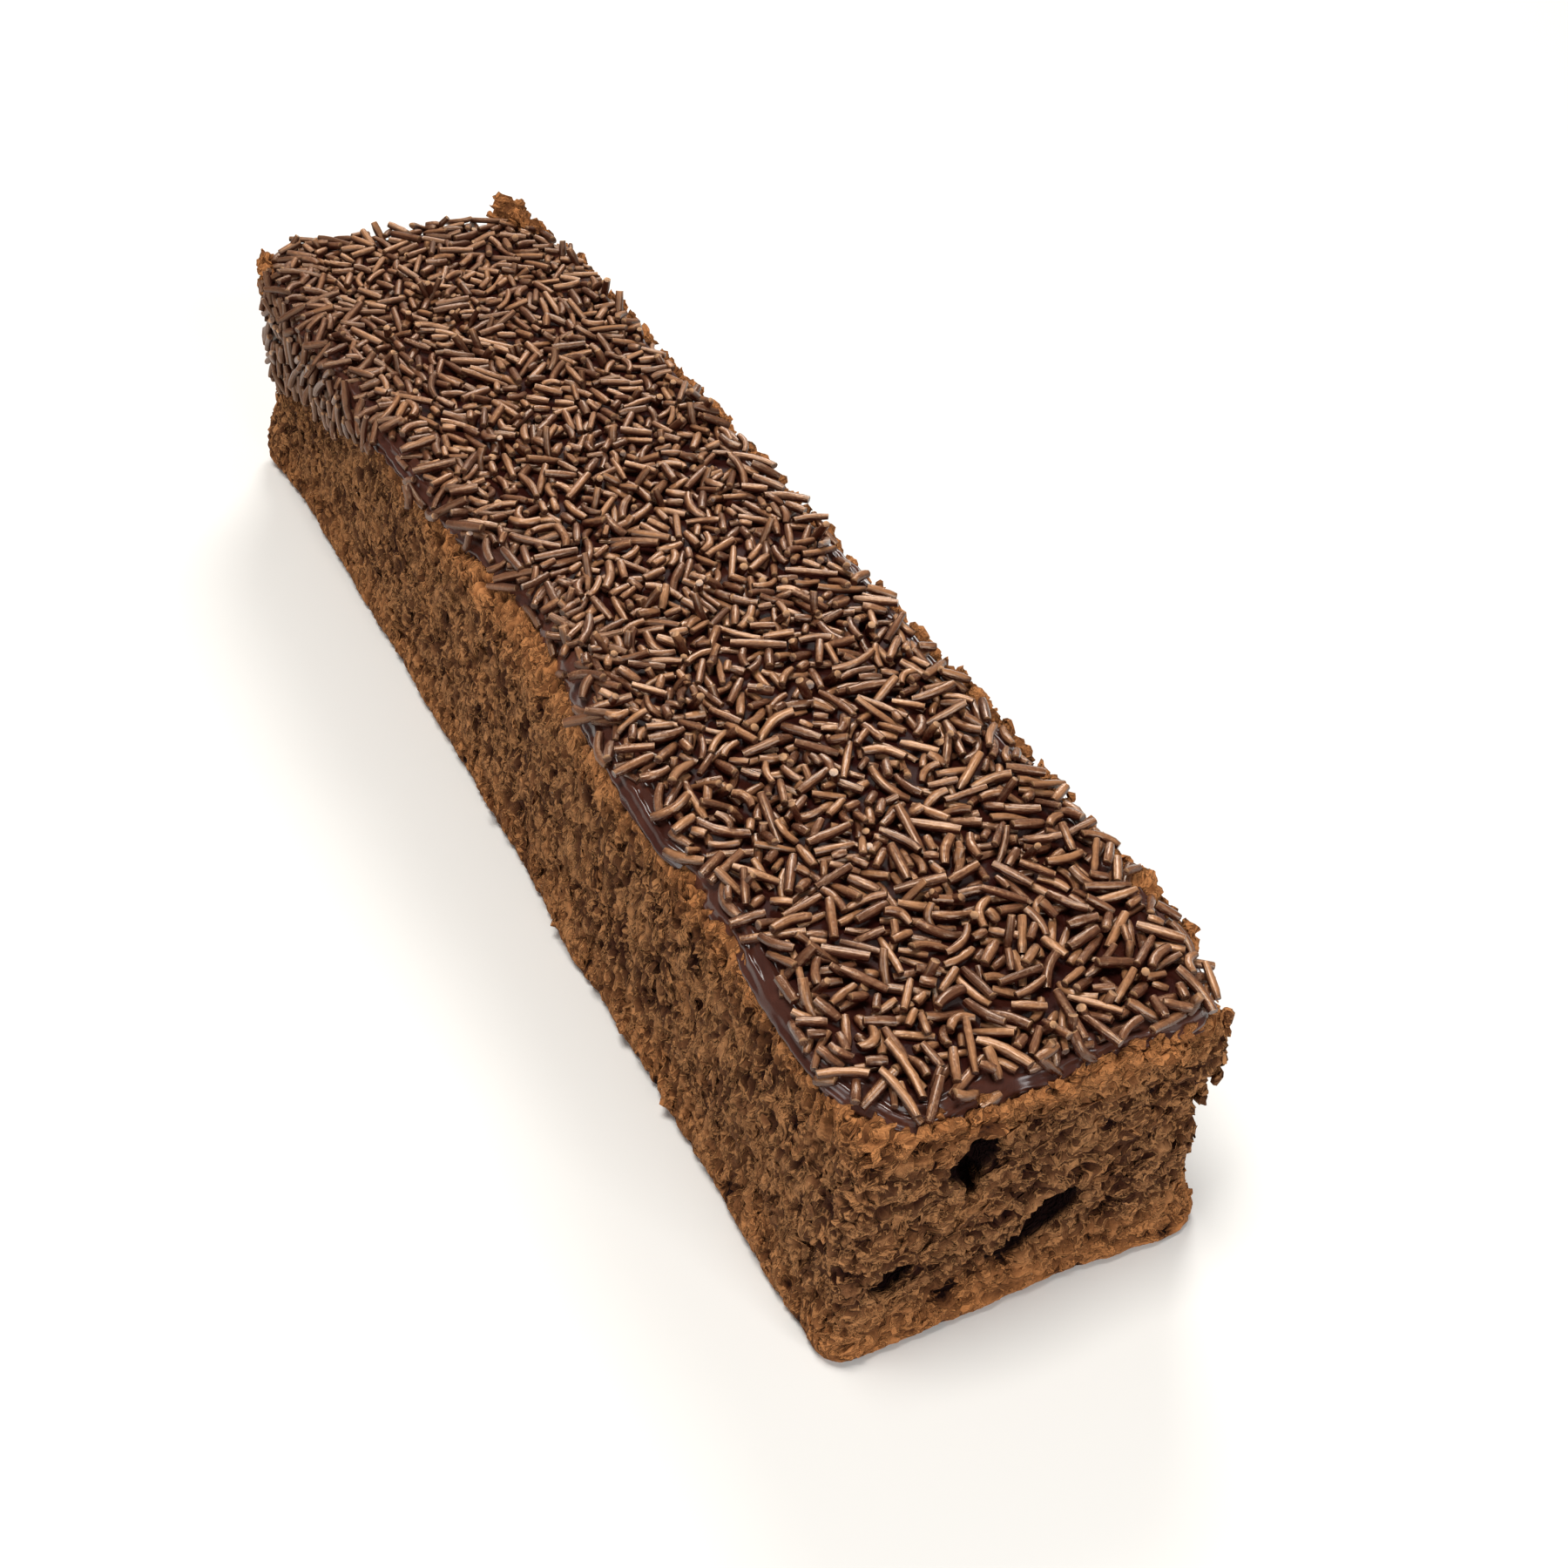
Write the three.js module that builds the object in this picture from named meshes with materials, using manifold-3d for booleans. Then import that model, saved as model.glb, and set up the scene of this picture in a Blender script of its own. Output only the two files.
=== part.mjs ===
// Brigadeiro cake: a bar cut from a chocolate sponge, under a poured brigadeiro icing that is covered with
// chocolate sprinkles. Units are millimetres and +Z is up. The origin is the middle of the base. The bar runs
// along Y, and its near end, at -Y, is the cut end with the open holes.
import * as THREE from "three";
import { ImprovedNoise } from "three/addons/math/ImprovedNoise.js";
import { mergeVertices } from "three/addons/utils/BufferGeometryUtils.js";
import Module from "manifold-3d";

const wasm = await Module();
wasm.setup();

// Driving dimensions of the bar
const LENGTH = 258;
const WIDTH = 62;
const SPONGE_HEIGHT = 45.5;
const ICING_THICKNESS = 2.5;
const SPRINKLE_DIAMETER = 1.5;
const SPRINKLE_SHORTEST = 5.5;
const SPRINKLE_LONGEST = 8.5;

const HALF_WIDTH = WIDTH / 2;
const HALF_LENGTH = LENGTH / 2;
const ICING_TOP = SPONGE_HEIGHT + ICING_THICKNESS;
const ICING_GAP = 0.3; // clear space between the icing and the uneven sides of the sponge
const FINEST_DETAIL = 0.02; // thinner slivers that a cut leaves are smoothed away

// Sponge: radius of each plan corner, edge rounding and how finely its sides are faceted
const SPONGE_CORNERS = { nearLeft: 3, nearRight: 6, farRight: 7, farLeft: 5 };
const FOOT_ROUNDING = 0.8;
const TOP_ROUNDING = 1.4;
const SHOULDER_HEIGHT = SPONGE_HEIGHT - 8;
const SPONGE_FACET = 5.2; // along its sides
const CORNER_FACETS = 3;
const SPONGE_SIDE_BANDS = 8;

// The long left edge is worn round in its middle stretch
const WORN_EDGE = { at: [-HALF_WIDTH, -12], spread: [20, 42], rounding: 5 };

// Crumb relief on the cut faces: width and depth of the broad swells and of the small crags
const SWELL_WIDTH = 17;
const SWELL_DEPTH = 1.2;
const CRAG_WIDTH = 6.3;
const CRAG_DEPTH = 1.5;
// The same relief at the top edge and at the foot, as a share of that on the faces, which it grows to in a
// short height above the foot
const TOP_RELIEF_SHARE = 0.7;
const FOOT_RELIEF_SHARE = 0.2;
const FOOT_CALM_HEIGHT = 14;

// Places where the crumb is torn out of the cut faces (a height above 0) or torn back into them
const TORN_PLACES = [
  { at: [HALF_WIDTH, -127, 47], spread: [9, 14, 5], height: -3.2 },
  { at: [HALF_WIDTH, -127, 35], spread: [9, 9, 3.5], height: 1.2 },
  { at: [HALF_WIDTH, -127, 28], spread: [9, 9, 4], height: -3.6 },
  { at: [HALF_WIDTH, -127, 0], spread: [9, 9, 5], height: 2.4 },
  { at: [-HALF_WIDTH, 124, 6], spread: [9, 9, 7], height: 2.6 },
  { at: [-HALF_WIDTH, -42, 5], spread: [9, 9, 6], height: 1.8 },
  { at: [HALF_WIDTH, 62, 30], spread: [9, 16, 10], height: 1.6 },
  { at: [HALF_WIDTH, -58, 45], spread: [9, 14, 8], height: 0.8 },
  { at: [HALF_WIDTH, 20, 45], spread: [9, 80, 9], height: 1 },
  { at: [HALF_WIDTH, 100, 45], spread: [9, 12, 8], height: 0.9 },
  { at: [HALF_WIDTH, 126, 45], spread: [10, 9, 9], height: -2.6 },
];

// Holes baked into the crumb that the cut at the near end has opened: middle on that face, half width, half
// height and depth, and the slant of the width in degrees
const OPEN_HOLES = [
  { x: -12.8, z: 34.4, halfWidth: 2.8, halfHeight: 2.9, depth: 7, slant: 0 },
  { x: -11.6, z: 28.4, halfWidth: 1.2, halfHeight: 3.8, depth: 4, slant: 0 },
  { x: 3.4, z: 15.3, halfWidth: 5, halfHeight: 3.4, depth: 7, slant: 42 },
  { x: -2.4, z: 10.8, halfWidth: 3.6, halfHeight: 1.4, depth: 5, slant: 16 },
  { x: -21.8, z: 14.3, halfWidth: 3.2, halfHeight: 1.9, depth: 5, slant: 20 },
];

// Flakes of sponge that stand up past the icing along the edge: middle, half sizes and lean in degrees
const FLAKES = [
  { at: [24.5, HALF_LENGTH - 1.6, 47.5], half: [5, 2, 6.5], lean: -24 },
  { at: [HALF_WIDTH - 0.4, 20.6, 45], half: [2.6, 3.6, 4.2], lean: 12 },
  { at: [HALF_WIDTH - 0.4, -56.3, 45], half: [2.4, 4.4, 4], lean: 10 },
  { at: [HALF_WIDTH - 0.6, -102, 45], half: [2.4, 6, 4], lean: 10 },
  { at: [-HALF_WIDTH + 1, HALF_LENGTH - 2.2, 44.5], half: [2.6, 2.8, 4.6], lean: -8 },
];

// Icing: radius of each plan corner, how it is faceted, and how it lies over the edge
const ICING_CORNERS = { nearLeft: 9, nearRight: 9, farRight: 9, farLeft: 5 };
const ICING_FACET = 7; // along its skirt
const ICING_WALL = 0.7; // how far its skirt stands out from the side of the sponge
const ICING_RUN_WALL = 1; // how much further it stands out where it ran down
const ICING_DROP = 1.2; // how far its skirt hangs below the top of the sponge
const ICING_UNDERCUT = 3; // how far the skirt's underside runs inwards, to be trimmed by the sponge
// Runs, where the icing was drawn down over the edge
const ICING_RUNS = [
  { at: [-HALF_WIDTH, HALF_LENGTH], spread: [14, 42], drop: 23 },
  { at: [-HALF_WIDTH, 78], spread: [10, 16], drop: 5 },
  { at: [HALF_WIDTH, -20], spread: [10, 16], drop: 3 },
  { at: [HALF_WIDTH, 92], spread: [10, 14], drop: 4 },
  { at: [6, HALF_LENGTH], spread: [10, 10], drop: 3 },
];
// Bare stretches, where the icing stops short of the edge
const ICING_BARE = [
  { at: [-HALF_WIDTH, -10], spread: [20, 34], inset: 4.8 },
  { at: [-HALF_WIDTH, -84], spread: [6, 11], inset: 2.4 },
  { at: [-HALF_WIDTH, -HALF_LENGTH], spread: [8, 9], inset: 3.2 },
  { at: [2, -HALF_LENGTH], spread: [34, 10], inset: 1.8 },
  { at: [HALF_WIDTH, -HALF_LENGTH], spread: [8, 14], inset: 2.6 },
  { at: [HALF_WIDTH, 0], spread: [6, 400], inset: 1.2 },
  { at: [HALF_WIDTH, HALF_LENGTH], spread: [9, 12], inset: 4.2 },
  { at: [0, HALF_LENGTH], spread: [30, 6], inset: 1.4 },
  { at: [-HALF_WIDTH, HALF_LENGTH], spread: [5, 5], inset: 3 },
];

// Sprinkles that are modelled singly: an even scatter, shaken out of line by seeded draws
const SCATTER_SPACING = 8.8;
const SCATTER_SHAKE = 0.32; // share of the spacing
const SCATTER_MARGIN = 6; // bare rim of the icing
const SPRINKLE_TILT = 7; // degrees, at most
const SPRINKLE_BEND = 0.16; // sag of a bent one, as a share of its length
const SPRINKLE_SINK = 0.3; // how far its axis stands above the icing, as a share of its diameter
const SPRINKLE_SEED = 20;
const SPRINKLE_SIDES = 6;
const RUN_SPRINKLES = 12; // those on the run at the far left corner

const noise = new ImprovedNoise();

/** A function that gives the same random numbers from 0 to 1 for the same seed. */
function seededRandom(seed) {
  let state = seed;
  return () => {
    state = (state + 0x6d2b79f5) | 0;
    let mixed = Math.imul(state ^ (state >>> 15), 1 | state);
    mixed = (mixed + Math.imul(mixed ^ (mixed >>> 7), 61 | mixed)) ^ mixed;
    return ((mixed ^ (mixed >>> 14)) >>> 0) / 2 ** 32;
  };
}

/** A bell curve about a place, for points in plan or in space: 1 at the middle, near 0 past twice the spread. */
function bell(point, { at, spread }) {
  const steps = point.map((value, axis) => ((value - at[axis]) / spread[axis]) ** 2);
  return Math.exp(-steps.reduce((sum, step) => sum + step, 0));
}

/** The bar's plan outline with its corner radii, anticlockwise, as points with outward directions. */
function planOutline(facet, { nearLeft, nearRight, farRight, farLeft }) {
  const [w, l] = [HALF_WIDTH, HALF_LENGTH];
  const outline = new THREE.Path()
    .moveTo(-w + nearLeft, -l)
    .lineTo(w - nearRight, -l)
    .absarc(w - nearRight, -l + nearRight, nearRight, -Math.PI / 2, 0)
    .absarc(w - farRight, l - farRight, farRight, 0, Math.PI / 2)
    .absarc(-w + farLeft, l - farLeft, farLeft, Math.PI / 2, Math.PI)
    .absarc(-w + nearLeft, -l + nearLeft, nearLeft, Math.PI, 1.5 * Math.PI);
  return outline.curves.flatMap((curve) => {
    const steps = Math.max(CORNER_FACETS, Math.round(curve.getLength() / facet));
    return Array.from({ length: steps }, (_, i) => {
      const { x, y } = curve.getPoint(i / steps);
      const along = curve.getTangent(i / steps);
      return { x, y, outX: along.y, outY: -along.x };
    });
  });
}

/** How far the crumb stands out from the cut face at a point where a share of the full relief shows. */
function crumbRelief(x, y, z, share) {
  const swell = noise.noise(x / SWELL_WIDTH, y / SWELL_WIDTH, z / SWELL_WIDTH);
  const crag = noise.noise(x / CRAG_WIDTH, y / CRAG_WIDTH, z / CRAG_WIDTH);
  const torn = TORN_PLACES.reduce((sum, place) => sum + place.height * bell([x, y, z], place), 0);
  return share * (SWELL_DEPTH * swell + CRAG_DEPTH * crag) + torn;
}

/** A closed skin over a stack of rings, from the lowest, with a lid on the first and on the last. */
function skin(rings) {
  const columns = rings[0].length;
  const index = [];
  for (let ring = 0; ring + 1 < rings.length; ring++) {
    for (let i = 0; i < columns; i++) {
      const next = (i + 1) % columns;
      const [a, b] = [ring * columns + i, ring * columns + next];
      index.push(a, b, b + columns, a, b + columns, a + columns);
    }
  }
  const lid = (ring) => {
    const contour = rings[ring].map((p) => new THREE.Vector2(p.x, p.y));
    return THREE.ShapeUtils.triangulateShape(contour, []);
  };
  const last = rings.length - 1;
  lid(0).forEach(([a, b, c]) => index.push(c, b, a));
  lid(last).forEach((face) => index.push(...face.map((i) => last * columns + i)));
  return new THREE.BufferGeometry().setFromPoints(rings.flat()).setIndex(index);
}

/** A three.js geometry as a solid that can be joined and cut. */
function solidOf(geometry) {
  const bare = geometry.clone();
  bare.deleteAttribute("normal");
  bare.deleteAttribute("uv");
  const merged = mergeVertices(bare, 1e-4);
  const vertProperties = merged.attributes.position.array;
  const triVerts = new Uint32Array(merged.index.array);
  return new wasm.Manifold(new wasm.Mesh({ numProp: 3, vertProperties, triVerts }));
}

/** A solid's largest body as a geometry, with any sealed hollow filled and any loose scrap dropped. */
function geometryOf(solid) {
  const bodies = solid.simplify(FINEST_DETAIL).decompose().sort((a, b) => b.volume() - a.volume());
  const { vertProperties, triVerts } = bodies[0].getMesh();
  const geometry = new THREE.BufferGeometry();
  geometry.setAttribute("position", new THREE.BufferAttribute(vertProperties, 3));
  geometry.setIndex(new THREE.BufferAttribute(triVerts, 1));
  geometry.computeVertexNormals();
  return geometry;
}

/** The heights of the sponge's rings at one column, each with how far it is set in from the cut face. */
function spongeProfile(x, y) {
  const rounding = TOP_ROUNDING + WORN_EDGE.rounding * bell([x, y], WORN_EDGE);
  const profile = [{ z: 0, inset: FOOT_ROUNDING, share: FOOT_RELIEF_SHARE }];
  for (let band = 0; band <= SPONGE_SIDE_BANDS; band++) {
    const z = THREE.MathUtils.lerp(FOOT_ROUNDING, SHOULDER_HEIGHT, band / SPONGE_SIDE_BANDS);
    profile.push({ z, inset: 0, share: Math.min(1, FOOT_RELIEF_SHARE + z / FOOT_CALM_HEIGHT) });
  }
  for (const turn of [0, Math.PI / 4, Math.PI / 2]) {
    const z = SPONGE_HEIGHT - rounding * (1 - Math.sin(turn));
    profile.push({ z, inset: rounding * (1 - Math.cos(turn)), share: TOP_RELIEF_SHARE });
  }
  return profile;
}

/** A ball of radius 1 stretched to its half sizes, leaning about Y. */
function stretched(ball, [x, y, z], [halfX, halfY, halfZ], lean) {
  return solidOf(
    ball
      .scale(halfX, halfY, halfZ)
      .rotateY(THREE.MathUtils.degToRad(lean))
      .translate(x, y, z),
  );
}

/** The sponge with its open holes and flakes, with its sides moved out by grow. */
function spongeSolid(grow) {
  const columns = planOutline(SPONGE_FACET, SPONGE_CORNERS);
  const profiles = columns.map(({ x, y }) => spongeProfile(x, y));
  const rings = profiles[0].map((_, ring) =>
    columns.map(({ x, y, outX, outY }, i) => {
      const { z, inset, share } = profiles[i][ring];
      const out = grow - inset + crumbRelief(x, y, z, share);
      return new THREE.Vector3(x + out * outX, y + out * outY, z);
    }),
  );
  const flakes = FLAKES.map(({ at, half, lean }) => {
    const crag = new THREE.IcosahedronGeometry(1);
    return stretched(crag, at, half.map((h) => h + grow), lean);
  });
  const holes = OPEN_HOLES.map(({ x, z, halfWidth, halfHeight, depth, slant }) => {
    const bubble = new THREE.SphereGeometry(1, 9, 6).rotateX(Math.PI / 2);
    return stretched(bubble, [x, -HALF_LENGTH, z], [halfWidth, depth, halfHeight], -slant);
  });
  const whole = wasm.Manifold.union([solidOf(skin(rings)), ...flakes]);
  return whole.subtract(wasm.Manifold.union(holes));
}

/** Where the icing's skirt stands at a column, measured out from the sponge's side, and where it ends. */
function skirt(x, y) {
  const drop = ICING_RUNS.reduce((sum, run) => sum + run.drop * bell([x, y], run), ICING_DROP);
  const inset = ICING_BARE.reduce((sum, bare) => sum + bare.inset * bell([x, y], bare), 0);
  const swollen = ICING_RUN_WALL * (1 - ICING_DROP / drop);
  return { wall: ICING_WALL + swollen - inset, lip: SPONGE_HEIGHT - drop };
}

/** The icing before the sponge is cut out of it: a lid with a skirt of uneven depth. */
function icingBlank() {
  const columns = planOutline(ICING_FACET, ICING_CORNERS);
  const profiles = columns.map(({ x, y }) => {
    const { wall, lip } = skirt(x, y);
    const upper = ICING_TOP - 1.1 * ICING_THICKNESS;
    return [
      { out: wall - ICING_UNDERCUT, z: lip + ICING_THICKNESS / 2 },
      { out: wall - ICING_WALL / 3, z: lip },
      { out: wall, z: THREE.MathUtils.lerp(lip, upper, 0.35) },
      { out: wall, z: upper },
      { out: wall - 0.25 * ICING_THICKNESS, z: ICING_TOP - 0.4 * ICING_THICKNESS },
      { out: wall - ICING_THICKNESS, z: ICING_TOP },
    ];
  });
  const rings = profiles[0].map((_, ring) =>
    columns.map(({ x, y, outX, outY }, i) => {
      const { out, z } = profiles[i][ring];
      return new THREE.Vector3(x + out * outX, y + out * outY, z);
    }),
  );
  return solidOf(skin(rings));
}

/** One sprinkle about the origin, along X: a straight stub, or one that sags in the middle. */
function sprinkleGeometry(length, bent) {
  const radius = SPRINKLE_DIAMETER / 2;
  if (!bent) {
    return new THREE.CylinderGeometry(radius, radius, length, SPRINKLE_SIDES).rotateZ(Math.PI / 2);
  }
  const sag = SPRINKLE_BEND * length;
  const path = new THREE.QuadraticBezierCurve3(
    new THREE.Vector3(-length / 2, -sag / 2, 0),
    new THREE.Vector3(0, 1.5 * sag, 0),
    new THREE.Vector3(length / 2, -sag / 2, 0),
  );
  const section = new THREE.Shape(
    Array.from({ length: SPRINKLE_SIDES }, (_, i) => {
      const turn = (2 * Math.PI * i) / SPRINKLE_SIDES;
      return new THREE.Vector2(radius * Math.cos(turn), radius * Math.sin(turn));
    }),
  );
  return new THREE.ExtrudeGeometry(section, { extrudePath: path, steps: 2, bevelEnabled: false });
}

/** True where the icing's flat top has room for a sprinkle. */
function onTop(x, y) {
  const side = Math.sign(x) * HALF_WIDTH;
  const end = Math.sign(y) * HALF_LENGTH;
  const roomAcross = HALF_WIDTH + skirt(side, y).wall - Math.abs(x);
  const roomAlong = HALF_LENGTH + skirt(x, end).wall - Math.abs(y);
  return Math.min(roomAcross, roomAlong) > SCATTER_MARGIN;
}

/** The sprinkles on the flat top of the icing, and those on the run down the far left corner. */
function sprinkleSolids() {
  const random = seededRandom(SPRINKLE_SEED);
  const spread = (size) => size * (2 * random() - 1);
  const axisHeight = SPRINKLE_SINK * SPRINKLE_DIAMETER;
  const tilt = THREE.MathUtils.degToRad(SPRINKLE_TILT);
  const draw = () => {
    const length = THREE.MathUtils.lerp(SPRINKLE_SHORTEST, SPRINKLE_LONGEST, random());
    return sprinkleGeometry(length, random() < 0.3).rotateY(spread(tilt)).rotateZ(random() * Math.PI);
  };
  const solids = [];
  const rows = Math.floor(LENGTH / SCATTER_SPACING);
  const files = Math.floor(WIDTH / SCATTER_SPACING);
  for (let row = 0; row < rows; row++) {
    for (let file = 0; file < files; file++) {
      const stagger = (row % 2) / 2 - 0.25;
      const x = (file - (files - 1) / 2 + stagger + spread(SCATTER_SHAKE)) * SCATTER_SPACING;
      const y = (row - (rows - 1) / 2 + spread(SCATTER_SHAKE)) * SCATTER_SPACING;
      const stub = draw();
      if (onTop(x, y)) {
        solids.push(solidOf(stub.translate(x, y, ICING_TOP + axisHeight)));
      }
    }
  }
  for (let i = 0; i < RUN_SPRINKLES; i++) {
    const down = (i + 0.5) / RUN_SPRINKLES;
    const y = HALF_LENGTH - 9 - 46 * ((i * 0.382) % 1) * (1 - 0.6 * down);
    const { wall, lip } = skirt(-HALF_WIDTH, y);
    const z = THREE.MathUtils.lerp(ICING_TOP - 2.2 * ICING_THICKNESS, lip + ICING_THICKNESS, down);
    solids.push(solidOf(draw().rotateY(Math.PI / 2).translate(-HALF_WIDTH - wall - axisHeight, y, z)));
  }
  return solids;
}

/** The icing, trimmed to the sponge, with the sprinkles fused on. */
function icingSolid() {
  const trimmed = icingBlank().subtract(spongeSolid(ICING_GAP));
  return wasm.Manifold.union([trimmed, ...sprinkleSolids()]);
}

const crumb = new THREE.MeshStandardMaterial({ color: 0x64422c, roughness: 0.95, metalness: 0 });
const fudge = new THREE.MeshStandardMaterial({ color: 0x3a2318, roughness: 0.35, metalness: 0 });

const sponge = new THREE.Mesh(geometryOf(spongeSolid(0)), crumb);
sponge.name = "sponge";

const icing = new THREE.Mesh(geometryOf(icingSolid()), fudge);
icing.name = "brigadeiro_icing";

const cake = new THREE.Group();
cake.add(sponge, icing);
export default cake;
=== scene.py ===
"""Brigadeiro cake bar: a chocolate sponge with open crumb, a poured icing and a thick cover of sprinkles."""

import logging
import math
from collections.abc import Callable, Iterable, Iterator, Sequence
from contextlib import contextmanager
from dataclasses import dataclass, field
from enum import Enum
from functools import partial
from typing import Any, ClassVar

import bmesh
import bpy
import numpy as np
from mathutils import Matrix, Vector, noise


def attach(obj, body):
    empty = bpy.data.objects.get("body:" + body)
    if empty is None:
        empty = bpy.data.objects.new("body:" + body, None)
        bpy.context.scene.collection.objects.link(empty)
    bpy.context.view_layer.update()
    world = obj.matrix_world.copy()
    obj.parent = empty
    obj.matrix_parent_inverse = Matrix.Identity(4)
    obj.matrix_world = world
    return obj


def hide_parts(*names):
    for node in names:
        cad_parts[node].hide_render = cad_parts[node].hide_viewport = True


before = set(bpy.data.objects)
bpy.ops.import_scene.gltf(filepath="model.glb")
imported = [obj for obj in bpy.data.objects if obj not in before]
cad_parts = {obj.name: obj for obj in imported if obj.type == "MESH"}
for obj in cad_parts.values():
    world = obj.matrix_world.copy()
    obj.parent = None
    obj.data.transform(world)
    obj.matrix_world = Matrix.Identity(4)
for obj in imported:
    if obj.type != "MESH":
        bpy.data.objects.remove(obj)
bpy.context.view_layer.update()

LOG = logging.getLogger("brigadeiro_cake")
MM = 0.001

Array = np.ndarray
Pair = tuple[float, float]
Triple = tuple[float, float, float]
Sizes = dict[str, float | int]
Inputs = dict[str, Any] | Sequence[Any]
Mesh = bpy.types.Mesh
Object = bpy.types.Object
Material = bpy.types.Material
Tree = bpy.types.NodeTree
Node = bpy.types.Node
Adder = Callable[..., Node]

# The bar's driving sizes, in millimetres, as in its solids
HALF_WIDTH = 31.0
HALF_LENGTH = 129.0
SPONGE_HEIGHT = 45.5
ICING_THICKNESS = 2.5
ICING_TOP = SPONGE_HEIGHT + ICING_THICKNESS

# Where the grain of the near end takes over from that of the sides, in millimetres along the bar
CUT_MM = (-HALF_LENGTH + 7, -HALF_LENGTH + 2)

# Points of a mesh that lie closer than this become one
MERGE = MM * 1e-3

# The middle of a noise's values, and of a sprinkle's length
MIDDLE = 0.5

# Node types that the trees use often
MATH, VECTOR, RANGE, MIX = "ShaderNodeMath", "ShaderNodeVectorMath", "ShaderNodeMapRange", "ShaderNodeMix"
NOISE, RAMP, BUMP, READ = "ShaderNodeTexNoise", "ShaderNodeValToRGB", "ShaderNodeBump", "ShaderNodeAttribute"
SPLIT, JOIN, RANDOM = "ShaderNodeSeparateXYZ", "ShaderNodeCombineXYZ", "FunctionNodeRandomValue"
NAMED, STORE = "GeometryNodeInputNamedAttribute", "GeometryNodeStoreNamedAttribute"
MOVE, COMPARE = "GeometryNodeSetPosition", "FunctionNodeCompare"
POSITION, NORMAL = "GeometryNodeInputPosition", "GeometryNodeInputNormal"


def linear(colour: str) -> tuple[float, float, float, float]:
    """Turns an sRGB hex colour into linear light.

    Args:
        colour: Six hex digits after a hash sign.

    Returns:
        Red, green, blue and an alpha of 1.
    """
    channels = [int(colour[i : i + 2], 16) / 255 for i in (1, 3, 5)]
    light = [c / 12.92 if c <= 0.04045 else ((c + 0.055) / 1.055) ** 2.4 for c in channels]
    return light[0], light[1], light[2], 1.0


def metres(sizes: Iterable[float]) -> list[float]:
    """Turns millimetres into metres."""
    return [size * MM for size in sizes]


def feed(tree: Tree, node: Node, inputs: Inputs) -> None:
    """Sets or links a node's inputs.

    Args:
        tree: The tree that holds the node.
        node: The node.
        inputs: Its inputs by name, or the first ones in order. Each is a value, a socket to link,
            or a node whose first output links.
    """
    for key, value in inputs.items() if isinstance(inputs, dict) else enumerate(inputs):
        shown = [socket for socket in node.inputs if socket.enabled]
        socket = shown[key] if isinstance(key, int) else next(s for s in shown if s.name == key)
        if isinstance(value, Node):
            value = next(output for output in value.outputs if output.enabled)
        if isinstance(value, bpy.types.NodeSocket):
            tree.links.new(value, socket)
        else:
            socket.default_value = value


def add(
    tree: Tree, kind: str, inputs: Inputs = (), stops: Sequence[tuple[float, str]] = (), **settings: Any
) -> Node:
    """Adds a node with its settings, values and links.

    Args:
        tree: The node tree that takes the node.
        kind: The node's type name.
        inputs: Its inputs, as feed takes them.
        stops: The places and colours of a colour ramp.
        settings: The node's own options.

    Returns:
        The new node.
    """
    node = tree.nodes.new(kind)
    for name, value in settings.items():
        setattr(node, name, value)
    feed(tree, node, inputs)
    for place, _ in stops[2:]:
        node.color_ramp.elements.new(place)
    for element, (place, colour) in zip(node.color_ramp.elements if stops else (), stops):
        element.position = place
        element.color = linear(colour)
    return node


def off_middle(node: Adder, value: Any) -> Node:
    """Adds the nodes that give how far a value lies from the middle, either way."""
    off = node(MATH, [value, MIDDLE], operation="SUBTRACT")
    return node(MATH, [off], operation="ABSOLUTE")


def new_material(name: str) -> tuple[Material, Adder, Callable[[Inputs], None]]:
    """Makes an empty material.

    Args:
        name: The real material and how its surface was made.

    Returns:
        The material, what adds a node to its tree, and what feeds its shader.
    """
    material = bpy.data.materials.new(name)
    material.use_nodes = True
    tree = material.node_tree
    return material, partial(add, tree), partial(feed, tree, tree.nodes["Principled BSDF"])


def new_geometry_tree(name: str, sizes: Sizes) -> tuple[Tree, Adder, Any]:
    """Starts a Geometry Nodes tree with named inputs.

    Args:
        name: The tree's name.
        sizes: The named inputs with their values.

    Returns:
        The tree, what adds a node to it, and the sockets of its inputs.
    """
    tree = bpy.data.node_groups.new(name, "GeometryNodeTree")
    tree.interface.new_socket("Geometry", in_out="INPUT", socket_type="NodeSocketGeometry")
    for label, value in sizes.items():
        kind = "NodeSocketInt" if isinstance(value, int) else "NodeSocketFloat"
        tree.interface.new_socket(label, in_out="INPUT", socket_type=kind)
    tree.interface.new_socket("Finish", in_out="INPUT", socket_type="NodeSocketMaterial")
    tree.interface.new_socket("Geometry", in_out="OUTPUT", socket_type="NodeSocketGeometry")
    return tree, partial(add, tree), add(tree, "NodeGroupInput").outputs


def end_tree(node: Adder, given: Any, geometry: Node) -> None:
    """Ends a Geometry Nodes tree: dresses what it made in its finish and hands it out."""
    dressed = node("GeometryNodeSetMaterial", {"Geometry": geometry, "Material": given["Finish"]})
    node("NodeGroupOutput", {"Geometry": dressed})


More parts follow.
